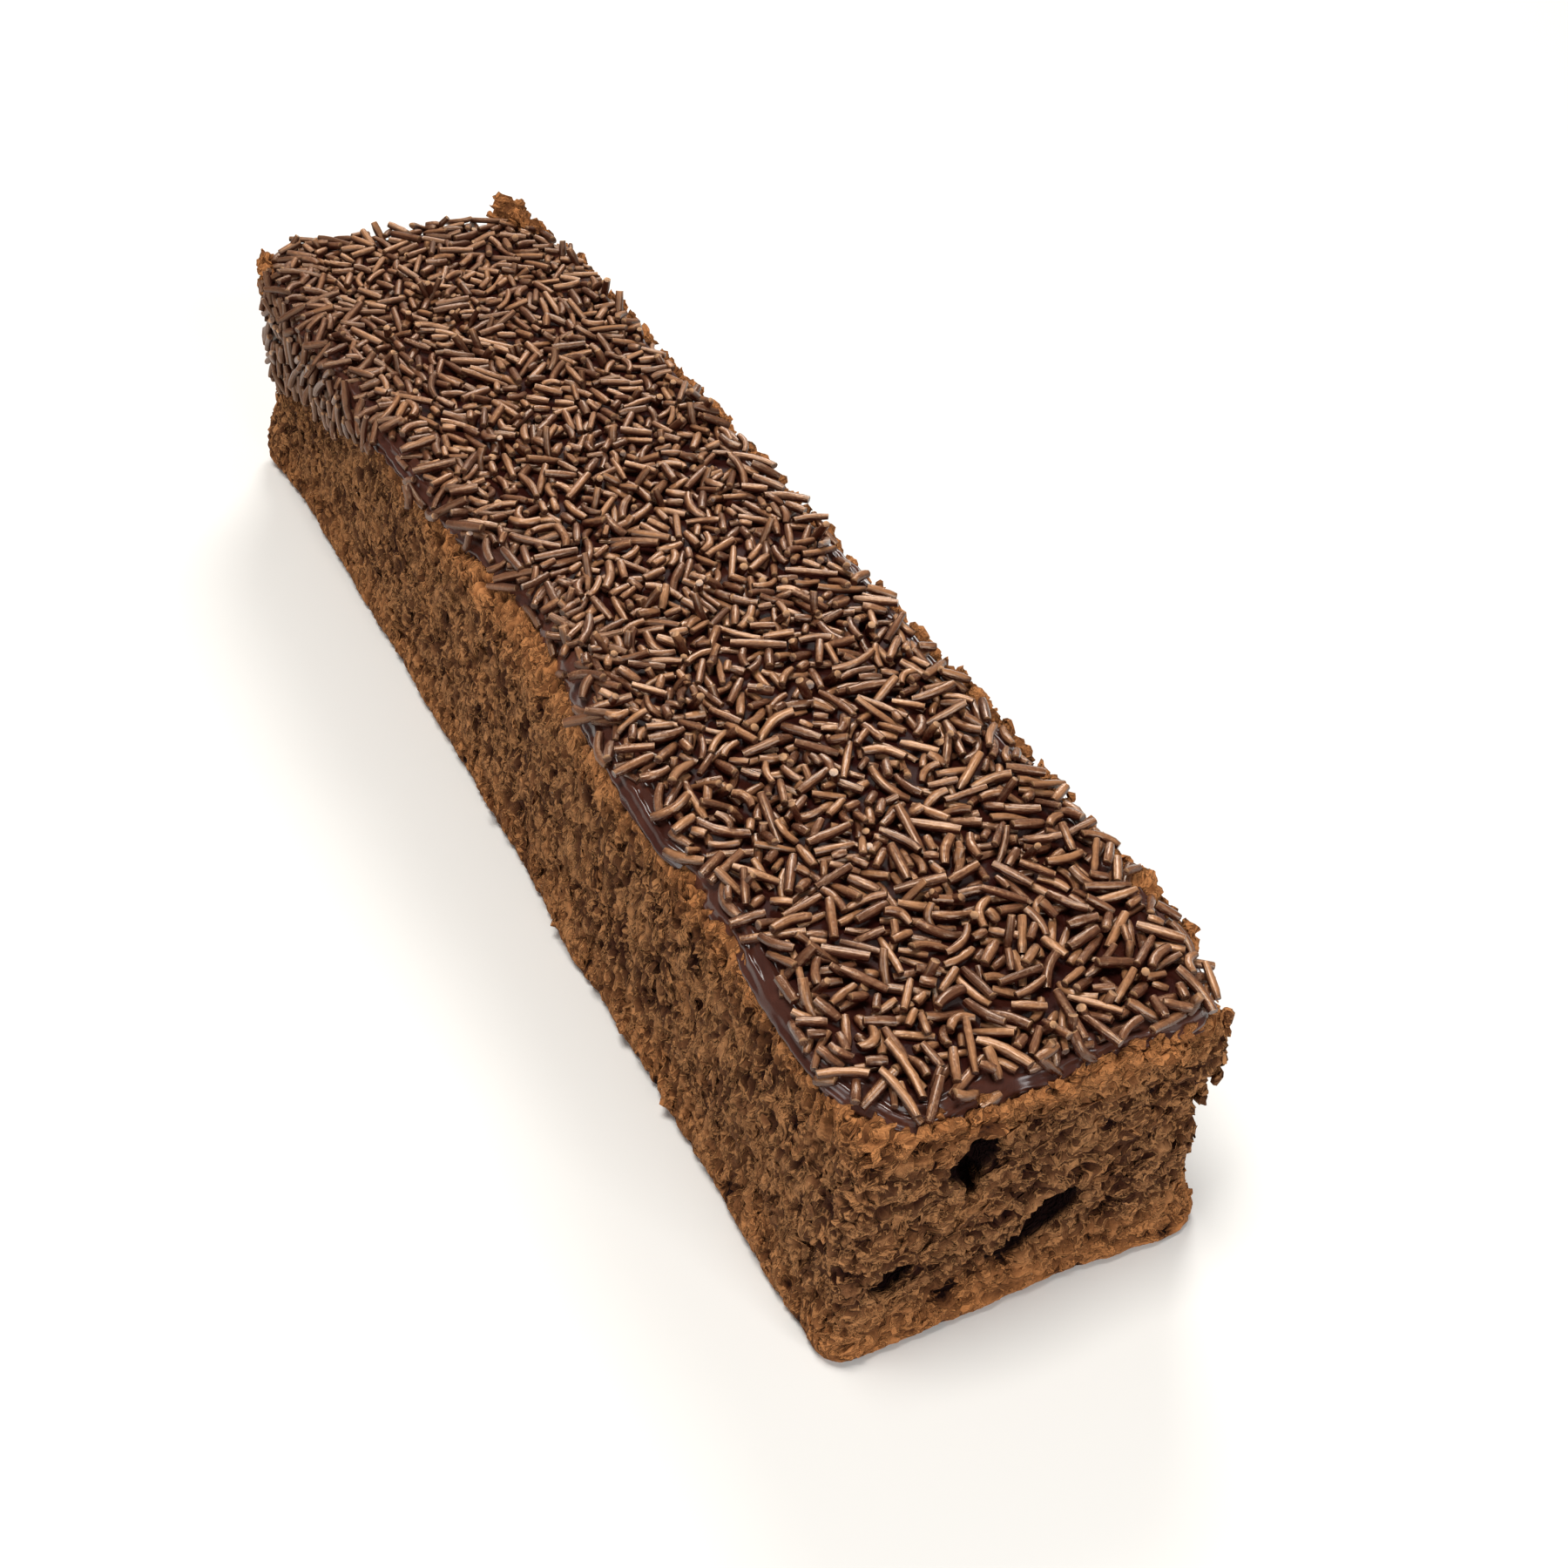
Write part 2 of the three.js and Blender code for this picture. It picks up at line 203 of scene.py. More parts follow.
def set_on_points(node: Adder, points: Any, shape: Node) -> Node:
    """Adds the nodes that set a shape on each point, turned and stretched by what the point carries.

    Args:
        node: What adds a node to the tree.
        points: The points, with their headings, upward directions and stretches.
        shape: The shape, along X.

    Returns:
        The node that gives the instances.
    """
    heading, up, stretch = (
        node(NAMED, {"Name": label}, data_type="FLOAT_VECTOR") for label in ("heading", "up", "stretch")
    )
    axes = {"Primary Axis": heading, "Secondary Axis": up}
    turned = node("FunctionNodeAxesToRotation", axes, primary_axis="X", secondary_axis="Z")
    inputs = {"Points": points, "Instance": shape, "Rotation": turned, "Scale": stretch}
    return node("GeometryNodeInstanceOnPoints", inputs)


def new_object(name: str, data: Any) -> Object:
    """Puts a new object into the scene.

    Args:
        name: The object's name.
        data: Its mesh, light or camera.

    Returns:
        The object.
    """
    made = bpy.data.objects.new(name, data)
    bpy.context.scene.collection.objects.link(made)
    return made


def plain_mesh(source: Object) -> Mesh:
    """Gives an object's mesh with its modifiers applied."""
    graph = bpy.context.evaluated_depsgraph_get()
    whole = source.evaluated_get(graph)
    return bpy.data.meshes.new_from_object(whole, preserve_all_data_layers=True, depsgraph=graph)


def run_tree(mesh: Mesh, tree: Tree, sizes: Sizes, finish: Material, name: str) -> Object:
    """Runs a Geometry Nodes tree on a mesh and keeps the result as a plain mesh.

    Args:
        mesh: The mesh that the tree starts from.
        tree: The tree, made by new_geometry_tree with the same sizes.
        sizes: The value of each named input.
        finish: The material for the tree's Finish input.
        name: The finished piece's name.

    Returns:
        The finished piece, with no modifier.
    """
    source = new_object(f"{name}_source", mesh)
    modifier = source.modifiers.new(tree.name, "NODES")
    modifier.node_group = tree
    values = {**sizes, "Finish": finish}
    for item in tree.interface.items_tree:
        if item.in_out == "INPUT" and item.name in values:
            modifier[item.identifier] = values[item.name]
    made = plain_mesh(source)
    made.name = name
    piece = new_object(name, made)
    bpy.data.objects.remove(source)
    return piece


@contextmanager
def editing(mesh: Mesh) -> Iterator[bmesh.types.BMesh]:
    """Opens a mesh for editing, and writes the result back.

    Args:
        mesh: The mesh.

    Yields:
        The open mesh.
    """
    work = bmesh.new()
    work.from_mesh(mesh)
    yield work
    work.to_mesh(mesh)
    work.free()


def mark(mesh: Mesh, label: str, rows: Any) -> None:
    """Keeps a value or a vector for each of a mesh's points.

    Args:
        mesh: The mesh.
        label: The name that it is kept under.
        rows: One value or one vector for each point.
    """
    values = np.asarray(rows, dtype=np.float32)
    kind, key = ("FLOAT", "value") if values.ndim == 1 else ("FLOAT_VECTOR", "vector")
    mesh.attributes.new(label, kind, "POINT").data.foreach_set(key, values.ravel())


def points_mesh(name: str, spots: Any, columns: dict[str, Any]) -> Mesh:
    """Makes a mesh of loose points that carry values.

    Args:
        name: The mesh's name.
        spots: The points, in millimetres.
        columns: By name, one value or one vector for each point.

    Returns:
        The mesh.
    """
    mesh = bpy.data.meshes.new(name)
    mesh.from_pydata((np.asarray(spots) * MM).tolist(), [], [])
    for label, rows in columns.items():
        mark(mesh, label, rows)
    return mesh


@dataclass(frozen=True)
class Swell:
    """A bell-shaped place in plan, in millimetres."""

    x: float
    y: float
    spread_x: float
    spread_y: float
    amount: float

    def at(self, x: Array, y: Array) -> Array:
        """The bell's height at each point, which is its amount in the middle."""
        away = ((x - self.x) / self.spread_x) ** 2 + ((y - self.y) / self.spread_y) ** 2
        return self.amount * np.exp(-away)


@dataclass(frozen=True)
class Ripple:
    """Smooth random swells: their height and width in millimetres, and a shift that gives other ones."""

    height: float
    width: float
    shift: float

    def at(self, points: Array) -> Array:
        """The field's height at each point of a plan."""
        flat = np.column_stack([points, np.zeros((len(points), 1))]) / self.width + self.shift
        return self.height * np.array([noise.noise(Vector(row)) for row in flat])


@dataclass(frozen=True)
class OpenCrumbFinish:
    """Chocolate sponge, baked, cut and torn dry.

    It is matt all over and orange brown where crust shows, with painted shade in its pores and holes and
    painted highlights on its crowns.
    """

    # Tones from deepest to highest relief: painted shade in the holes and pores, painted highlight on the
    # raised crowns
    hole: str = "#150504"
    pore: str = "#2b1209"
    shade: str = "#452918"
    crumb: str = "#623f27"
    crown_highlight: str = "#9e6f48"
    tone_stops: tuple[float, ...] = (0.0, 0.22, 0.45, 0.68, 1.0)
    crust: str = "#b47442"
    roughness: float = 0.95
    shine: float = 0.1
    strand_mm: float = 2.0
    grit_mm: float = 0.5
    patch_mm: float = 9.0
    tear_mm: float = 0.9
    draw: Triple = (0.75, 1.0, 0.38)
    end_draw: Triple = (0.58, 1.0, 0.92)
    strand_weight: float = 1.2
    grit_weight: float = 0.22
    thread_width: float = 0.08
    thread_height: float = 0.55
    relief_mm: Pair = (-2.3, 0.9)
    torn_span: Pair = (0.45, 1.3)
    fine_span: Pair = (-0.42, 0.4)
    patch_span: Pair = (0.5, 0.8)
    patch_crust: float = 0.25
    mouth_mm: Pair = (-HALF_LENGTH - 0.3, -HALF_LENGTH + 1.4)
    rim_mm: Pair = (37.5, SPONGE_HEIGHT)
    rim_crust: float = 0.55
    foot_mm: Pair = (12.0, 0.5)
    foot_crust: Pair = (0.4, 0.8)

    def material(self) -> Material:
        """Builds the material.

        Returns:
            The finished material.
        """
        material, node, dress = new_material("chocolate_sponge_torn_dry")
        place = node("ShaderNodeTexCoord").outputs["Object"]
        relief, hollow = (node(READ, attribute_name=label).outputs["Fac"] for label in ("relief", "hollow"))
        where = node(SPLIT, [place]).outputs
        cut = node(RANGE, [where["Y"], *metres(CUT_MM)])
        look = {"Scale": 1 / (self.strand_mm * MM), "Detail": 3.0, "Roughness": 0.55, "Distortion": 0.9}
        grains = []
        for draw in (self.draw, self.end_draw):
            drawn = node(VECTOR, [place, draw], operation="MULTIPLY")
            grains.append(node(NOISE, {"Vector": drawn, **look}))
        strands = node(MIX, {"Factor": cut, "A": grains[0], "B": grains[1]}, data_type="FLOAT")
        thin = [off_middle(node, strands), 0.0, self.thread_width, self.thread_height, 0.0]
        thread = node(RANGE, thin, interpolation_type="SMOOTHSTEP")
        grit_look = {"Scale": 1 / (self.grit_mm * MM), "Detail": 2.0, "Roughness": 0.6}
        grit = node(NOISE, {"Vector": place, **grit_look})
        edges = node(MATH, [strands, self.strand_weight, thread], operation="MULTIPLY_ADD")
        torn = node(MATH, [grit, self.grit_weight, edges], operation="MULTIPLY_ADD")
        # The tone follows the relief and the bump's own height: painted shade where low, painted highlight
        # where raised
        depth = node(RANGE, [relief, *self.relief_mm])
        fine = node(RANGE, [torn, *self.torn_span, *self.fine_span], clamp=False)
        level = node(MATH, [depth, fine], operation="ADD", use_clamp=True)
        tones = (self.hole, self.pore, self.shade, self.crumb, self.crown_highlight)
        crumb = node(RAMP, [level], stops=list(zip(self.tone_stops, tones)))
        patch = node(NOISE, {"Vector": place, "Scale": 1 / (self.patch_mm * MM), "Detail": 3.0})
        worn = node(RANGE, [patch, *self.patch_span, 0.0, self.patch_crust])
        inside = node(RANGE, [where["Y"], *metres(self.mouth_mm)])
        # Painted shade: the open holes at the near end take the darkest colour
        dark = node(MATH, [hollow, inside], operation="MULTIPLY")
        rim = node(RANGE, [where["Z"], *metres(self.rim_mm), 0.0, self.rim_crust])
        warm = node(RANGE, [cut, 0.0, 1.0, *self.foot_crust])
        foot = node(RANGE, [where["Z"], *metres(self.foot_mm), 0.0, warm])
        ends = node(MATH, [rim, foot], operation="ADD")
        crusty = node(MATH, [worn, ends], operation="ADD", use_clamp=True)
        # The crust tint follows the same painted light and shade level, so it is strongest on raised crowns
        lit = node(MATH, [crusty, level], operation="MULTIPLY")
        tinted = node(MIX, {"Factor": lit, "A": crumb, "B": linear(self.crust)}, data_type="RGBA")
        deep = node(MIX, {"Factor": dark, "A": tinted, "B": linear(self.hole)}, data_type="RGBA")
        bump = node(BUMP, {"Height": torn, "Strength": 1.0, "Distance": self.tear_mm * MM})
        dress({"Base Color": deep, "Roughness": self.roughness, "Normal": bump})
        dress({"Specular IOR Level": self.shine})
        return material


@dataclass(frozen=True)
class PouredIcingFinish:
    """Brigadeiro, boiled and poured.

    It has a dark, wet-looking skin with soft dents that carries sharp white lights.
    """

    deep: str = "#270c09"
    thin: str = "#3a1a11"
    # Lighter lip colour: thin icing at the edge, and painted reflection of the bright surroundings
    lip: str = "#523025"
    roughness: float = 0.6
    shine: float = 0.03
    gloss_roughness: float = 0.16
    gloss_ior: float = 1.45
    lip_span: Pair = (0.45, 1.0)
    wetness: Pair = (0.03, 0.9)
    cloud_mm: float = 9.0
    cloud_stops: Pair = (0.4, 0.8)
    dent_mm: float = 3.2
    dent_depth_mm: float = 1.0

    def material(self) -> Material:
        """Builds the material.

        Returns:
            The finished material.
        """
        material, node, dress = new_material("brigadeiro_poured")
        place = node("ShaderNodeTexCoord").outputs["Object"]
        cloud = node(NOISE, {"Vector": place, "Scale": 1 / (self.cloud_mm * MM), "Detail": 3.0})
        tone = node(RAMP, [cloud], stops=list(zip(self.cloud_stops, (self.deep, self.thin))))
        edge = node(READ, attribute_name="lip").outputs["Fac"]
        # Thin icing and painted reflection: the lip colour shows where the edge mark and the cloud noise are
        # high
        thin_and_sheen = node(MATH, [edge, cloud], operation="MULTIPLY")
        colour = node(MIX, {"Factor": thin_and_sheen, "A": tone, "B": linear(self.lip)}, data_type="RGBA")
        wet = node(RANGE, [edge, *self.lip_span, *self.wetness])
        dent_look = {"Scale": 1 / (self.dent_mm * MM), "Detail": 3.0, "Distortion": 0.8}
        dents = node(NOISE, {"Vector": place, **dent_look})
        bump = node(BUMP, {"Height": dents, "Strength": 1.0, "Distance": self.dent_depth_mm * MM})
        dress({"Base Color": colour, "Roughness": self.roughness, "Normal": bump})
        dress({"Specular IOR Level": self.shine, "Coat Weight": wet})
        dress({"Coat Roughness": self.gloss_roughness, "Coat IOR": self.gloss_ior})
        return material


@dataclass(frozen=True)
class SprinkleFinish:
    """Milk chocolate, extruded, snapped and tumbled.

    It has drawn lines along a satin skin, and paler snapped ends.
    """

    # Painted shade: the dark colour of each sprinkle's sides and underside, against its lighter top
    side_shade: str = "#32120b"
    dark: str = "#422517"
    middle: str = "#68422d"
    pale: str = "#9b6d4a"
    snapped: str = "#c4986f"
    light_tint: str = "#ffd2a6"
    roughness: Pair = (0.24, 0.42)
    shine: float = 0.85
    gloss: Pair = (0.35, 0.1)
    gloss_roughness: float = 0.17
    gloss_ior: float = 1.55
    scuff_mm: float = 0.7
    scuff_weight: float = 0.5
    mottle: float = 1.3
    lines_around: float = 1.6
    line_shift: float = 60.0
    line_depth_mm: float = 0.3
    line_strength: float = 0.9
    end_span: Pair = (0.485, 0.499)
    end_paleness: float = 0.7
    # How far up a point must face before the painted shade gives way to the sprinkle's own colour
    shade_span: Pair = (0.12, 0.95)

    def material(self) -> Material:
        """Builds the material.

        Returns:
            The finished material.
        """
        material, node, dress = new_material("milk_chocolate_extruded")
        place = node("ShaderNodeTexCoord").outputs["Object"]
        tone, reach, above, coating = (
            node(READ, attribute_name=label).outputs["Fac"] for label in ("tone", "reach", "above", "coating")
        )
        girth = node(READ, attribute_name="girth").outputs["Vector"]
        scuff_look = {"Scale": 1 / (self.scuff_mm * MM), "Detail": 3.0, "Distortion": 0.6}
        scuff = node(NOISE, {"Vector": place, **scuff_look})
        along = node(MATH, [tone, self.line_shift, reach], operation="MULTIPLY_ADD")
        around = (self.lines_around, self.lines_around, 0.0)
        drawn = node(VECTOR, [girth, around, node(JOIN, {"Z": along})], operation="MULTIPLY_ADD")
        lines = node(NOISE, {"Vector": drawn, "Scale": 1.0, "Detail": 3.0, "Roughness": 0.6})
        worn = node(MATH, [scuff, self.scuff_weight, lines], operation="MULTIPLY_ADD")
        usual = MIDDLE * (1 + self.scuff_weight)
        mottle = node(MATH, [worn, self.mottle, -self.mottle * usual], operation="MULTIPLY_ADD")
        shade = node(MATH, [tone, mottle], operation="ADD", use_clamp=True)
        skin = node(RAMP, [shade], stops=[(0.0, self.dark), (0.5, self.middle), (1.0, self.pale)])
        broken = node(RANGE, [off_middle(node, reach), *self.end_span, 0.0, self.end_paleness])
        colour = node(MIX, {"Factor": broken, "A": skin, "B": linear(self.snapped)}, data_type="RGBA")
        # Painted shade: points that face sideways or down take the dark shade colour, points that face up
        # keep their own
        dry = node(RANGE, [above, *self.shade_span], interpolation_type="SMOOTHSTEP")
        side_shaded = node(MIX, {"Factor": dry, "A": linear(self.side_shade), "B": colour}, data_type="RGBA")
        dull = node(RANGE, [coating, 0.0, 1.0, *self.roughness])
        gloss = node(RANGE, [coating, 0.0, 1.0, *self.gloss])
        lined = {"Height": worn, "Strength": self.line_strength, "Distance": self.line_depth_mm * MM}
        bump = node(BUMP, lined)
        dress({"Base Color": side_shaded, "Roughness": dull, "Specular IOR Level": self.shine, "Normal": bump})
        dress({"Coat Weight": gloss, "Coat Roughness": self.gloss_roughness, "Coat IOR": self.gloss_ior})
        dress({"Specular Tint": linear(self.light_tint)})
        return material


@dataclass(frozen=True)
class OpenHole:
    """An open bubble in the near end, in millimetres, with its slant in degrees."""

    x: float
    z: float
    half_width: float
    half_height: float
    slant: float


@dataclass
class SpongeBar:
    """The cut sponge: the solid's own form, with pores and strands torn into its faces."""

    finish: Material
    facet_mm: float = 0.66
    hidden_margin_mm: float = 8.5
    base_slope: float = -0.99
    lid_slope: float = 0.9
    holes: tuple[OpenHole, ...] = (
        OpenHole(-12.6, 34.8, 3.8, 3.5, 0),
        OpenHole(-11.9, 29.6, 1.1, 3.0, 0),
        OpenHole(3.4, 15.2, 5.0, 3.4, 42),
        OpenHole(-2.4, 10.8, 3.6, 1.4, 16),
        OpenHole(-21.8, 14.3, 3.2, 1.9, 20),
    )
    hole_depth_mm: float = 6.0
    hole_zone_mm: float = 10.0
    hole_headroom: float = 1.5
    hole_fade: float = 0.2
    ridge_width: float = 0.2
    ridge_heights: Pair = (0.35, -0.65)
    least_pore: float = 0.001
    sizes: Sizes = field(
        default_factory=lambda: {
            "Smoothing": 3,
            "Sway": 2.6,
            "Sway Size": 2.6,
            "Side Across Stretch": 0.75,
            "Side Upright Stretch": 0.38,
            "End Across Stretch": 0.58,
            "End Upright Stretch": 0.84,
            "End Depth": 0.95,
            "Large Pore Spacing": 4.0,
            "Large Pore Depth": 2.8,
            "Large Pore Width": 0.5,
            "Large Pore Luck": 0.1,
            "Small Pore Spacing": 2.1,
            "Small Pore Depth": 1.6,
            "Small Pore Width": 0.46,
            "Small Pore Luck": 0.15,
            "Strand Size": 2.2,
            "Strand Height": 2.2,
            "Hole Relief": 0.2,
            "Hole Widening": 0.7,
            "Swell Size": 11.0,
            "Swell Height": 0.9,
            "Foot Gap": 0.3,
            "Foot Height": 4.0,
            "Flare": 1.6,
            "Flare Height": 9.0,
        }
    )

    def fine_form(self) -> Mesh:
        """Copies the solid's mesh with small even faces, and one large face where it is hidden.

        Returns:
            The mesh that the crumb is torn into.
        """
        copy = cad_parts["sponge"].data.copy()
        with editing(copy) as work:
            bmesh.ops.remove_doubles(work, verts=work.verts, dist=MERGE)
        form = new_object("sponge_form", copy)
        remesh = form.modifiers.new("even_faces", "REMESH")
        remesh.mode = "VOXEL"
        remesh.voxel_size = self.facet_mm * MM
        mesh = plain_mesh(form)
        bpy.data.objects.remove(form)
        inner = [(half - self.hidden_margin_mm) * MM for half in (HALF_WIDTH, HALF_LENGTH)]
        with editing(mesh) as work:
            base = [
                f
                for f in work.faces
                if f.normal.z < self.base_slope and f.calc_center_median().z < self.facet_mm * MM
            ]
            bmesh.ops.dissolve_faces(work, faces=base, use_verts=True)
            lid = [
                f
                for f in work.faces
                if f.normal.z > self.lid_slope
                and all(abs(at) < limit for at, limit in zip(f.calc_center_median(), inner))
            ]
            bmesh.ops.dissolve_faces(work, faces=lid, use_verts=True)
        self.mark_holes(mesh)
        return mesh

    def mark_holes(self, mesh: Mesh) -> None:
        """Clears the near end's open holes to their full width, and marks their points from 0 to 1.

        Args:
            mesh: The sponge's fine mesh.
        """
        points = np.empty(len(mesh.vertices) * 3)
        mesh.vertices.foreach_get("co", points)
        x, y, z = points.reshape(-1, 3).T / MM
        near = y < -HALF_LENGTH + self.hole_zone_mm
        hollow = np.zeros(len(x))
        floor = np.full(len(x), -np.inf)
        for hole in self.holes:
            turn = math.radians(hole.slant)
            across = (x - hole.x) * math.cos(turn) + (z - hole.z) * math.sin(turn)
            upwards = (z - hole.z) * math.cos(turn) - (x - hole.x) * math.sin(turn)
            away = np.hypot(across / hole.half_width, upwards / hole.half_height)
            tall = hole.half_height * np.where(upwards > 0, self.hole_headroom, 1.0)
            cleared = np.hypot(across / hole.half_width, upwards / tall)
            share = np.clip((1 + self.hole_fade - cleared) / self.hole_fade, 0, 1)
            hollow = np.maximum(hollow, share * near)
            depth = self.hole_depth_mm * np.sqrt(np.clip(1 - away**2, 0, 1))
            floor = np.where(near & (away < 1), np.maximum(floor, depth - HALF_LENGTH), floor)
        mesh.vertices.foreach_set("co", np.column_stack([x, np.maximum(y, floor), z]).ravel() * MM)
        mark(mesh, "hollow", hollow)

    def grain(self, node: Adder, given: Any, swayed: Node, finer: dict[str, Any], face: str) -> Node:
        """Adds the nodes that work out the strands and pores of the sides or of the near end.

        Args:
            node: What adds a node to the tree.
            given: The sockets of the tree's inputs.
            swayed: The place on the sponge, in millimetres, shaken a little.
            finer: The noise scales, by the name of the size that each comes from.
            face: Side or End, as in the names of the tree's inputs.

        Returns:
            The node that gives the relief, in millimetres.
        """
        stretch = {"X": given[f"{face} Across Stretch"], "Y": 1.0, "Z": given[f"{face} Upright Stretch"]}
        drawn = node(VECTOR, [swayed, node(JOIN, stretch)], operation="MULTIPLY")
        look = {"Scale": finer["Strand Size"], "Detail": 2.0, "Roughness": 0.55}
        fold = off_middle(node, node(NOISE, {"Vector": drawn, **look}))
        ridge = node(RANGE, [fold, 0.0, self.ridge_width, *self.ridge_heights])
        total = node(MATH, [ridge, given["Strand Height"]], operation="MULTIPLY")
        for size in ("Large Pore", "Small Pore"):
            cells = {"Vector": drawn, "Scale": finer[f"{size} Spacing"]}
            pores = node("ShaderNodeTexVoronoi", cells, feature="F1").outputs
            luck = node(SPLIT, [pores["Color"]]).outputs["X"]
            widths = (self.least_pore, given[f"{size} Width"])
            reach = node(RANGE, [luck, given[f"{size} Luck"], 1.0, *widths])
            bowl = {"Value": pores["Distance"], "From Max": reach, "To Min": -1.0, "To Max": 0.0}
            pore = node(RANGE, bowl, interpolation_type="SMOOTHSTEP")
            total = node(MATH, [pore, given[f"{size} Depth"], total], operation="MULTIPLY_ADD")
        return total

    def crumb_tree(self) -> Tree:
        """Builds the tree that tears pores and strands into the faces, but leaves the open holes clear.

        Returns:
            The tree.
        """
        tree, node, given = new_geometry_tree("open_crumb", self.sizes)
        place = node(POSITION)
        smoothing = {"Value": place, "Iterations": given["Smoothing"]}
        soft = node("GeometryNodeBlurAttribute", smoothing, data_type="FLOAT_VECTOR")
        smooth = node(MOVE, {"Geometry": given["Geometry"], "Position": soft})
        in_mm = node(VECTOR, [place, 1 / MM], operation="SCALE")
        spacings = ("Sway Size", "Large Pore Spacing", "Small Pore Spacing", "Strand Size", "Swell Size")
        finer = {
            label: node(MATH, [1.0, given[label]], operation="DIVIDE").outputs[0] for label in spacings
        }
        drift = node(NOISE, {"Vector": in_mm, "Scale": finer["Sway Size"], "Detail": 1.0})
        centred = node(VECTOR, [drift.outputs["Color"], (MIDDLE,) * 3], operation="SUBTRACT")
        sway = node(VECTOR, [centred, given["Sway"]], operation="SCALE")
        swayed = node(VECTOR, [in_mm, sway], operation="ADD")
        where = node(SPLIT, [in_mm]).outputs
        cut = node(RANGE, [where["Y"], *CUT_MM])
        sides, end = (self.grain(node, given, swayed, finer, face) for face in ("Side", "End"))
        grain = node(MIX, {"Factor": cut, "A": sides, "B": end}, data_type="FLOAT")
        swells = node(NOISE, {"Vector": in_mm, "Scale": finer["Swell Size"], "Detail": 1.0})
        swell = node(RANGE, {"Value": swells, "To Min": -1.0, "To Max": 1.0})
        total = node(MATH, [swell, given["Swell Height"], grain], operation="MULTIPLY_ADD")
        held = {"Geometry": smooth, "Name": "relief", "Value": total}
        kept = node(STORE, held, data_type="FLOAT", domain="POINT")
        relief, hollow = (node(NAMED, {"Name": label}, data_type="FLOAT") for label in ("relief", "hollow"))
        solid = node(RANGE, {"Value": hollow, "To Min": 1.0, "To Max": given["Hole Relief"]})
        calm = node(RANGE, {"Value": cut, "To Min": 1.0, "To Max": given["End Depth"]})
        foot = node(RANGE, [where["Z"], given["Foot Gap"], given["Foot Height"], 0.0, MM])
        clear = node(MATH, [foot, solid], operation="MULTIPLY")
        share = node(MATH, [clear, calm], operation="MULTIPLY")
        widening = node(MATH, [hollow, given["Hole Widening"]], operation="MULTIPLY")
        opened = node(MATH, [widening, -MM], operation="MULTIPLY")
        step = node(MATH, [relief, share, opened], operation="MULTIPLY_ADD")
        outwards = node(NORMAL)
        offset = node(VECTOR, [outwards, step], operation="SCALE")
        flare = node(RANGE, [where["Z"], 0.0, given["Flare Height"], given["Flare"], 0.0])
        level_out = node(VECTOR, [outwards, (MM, MM, 0.0)], operation="MULTIPLY")
        spread = node(VECTOR, [level_out, flare], operation="SCALE")
        moved = node(VECTOR, [offset, spread], operation="ADD")
        end_tree(node, given, node(MOVE, {"Geometry": kept, "Offset": moved}))
        return tree

    def build(self) -> Object:
        """Builds the sponge and dresses it.

        Returns:
            The finished piece.
        """
        piece = run_tree(self.fine_form(), self.crumb_tree(), self.sizes, self.finish, "sponge_crumb")
        piece.data.shade_smooth()
        return piece


@dataclass(frozen=True)
class FlakeRow:
    """A row of standing flakes, in millimetres: its ends in plan, the way it faces and its heights."""

    first: Pair
    last: Pair
    out: Pair
    count: int
    lifts: Pair = (0.4, 0.4)
    depth: float = 0.0


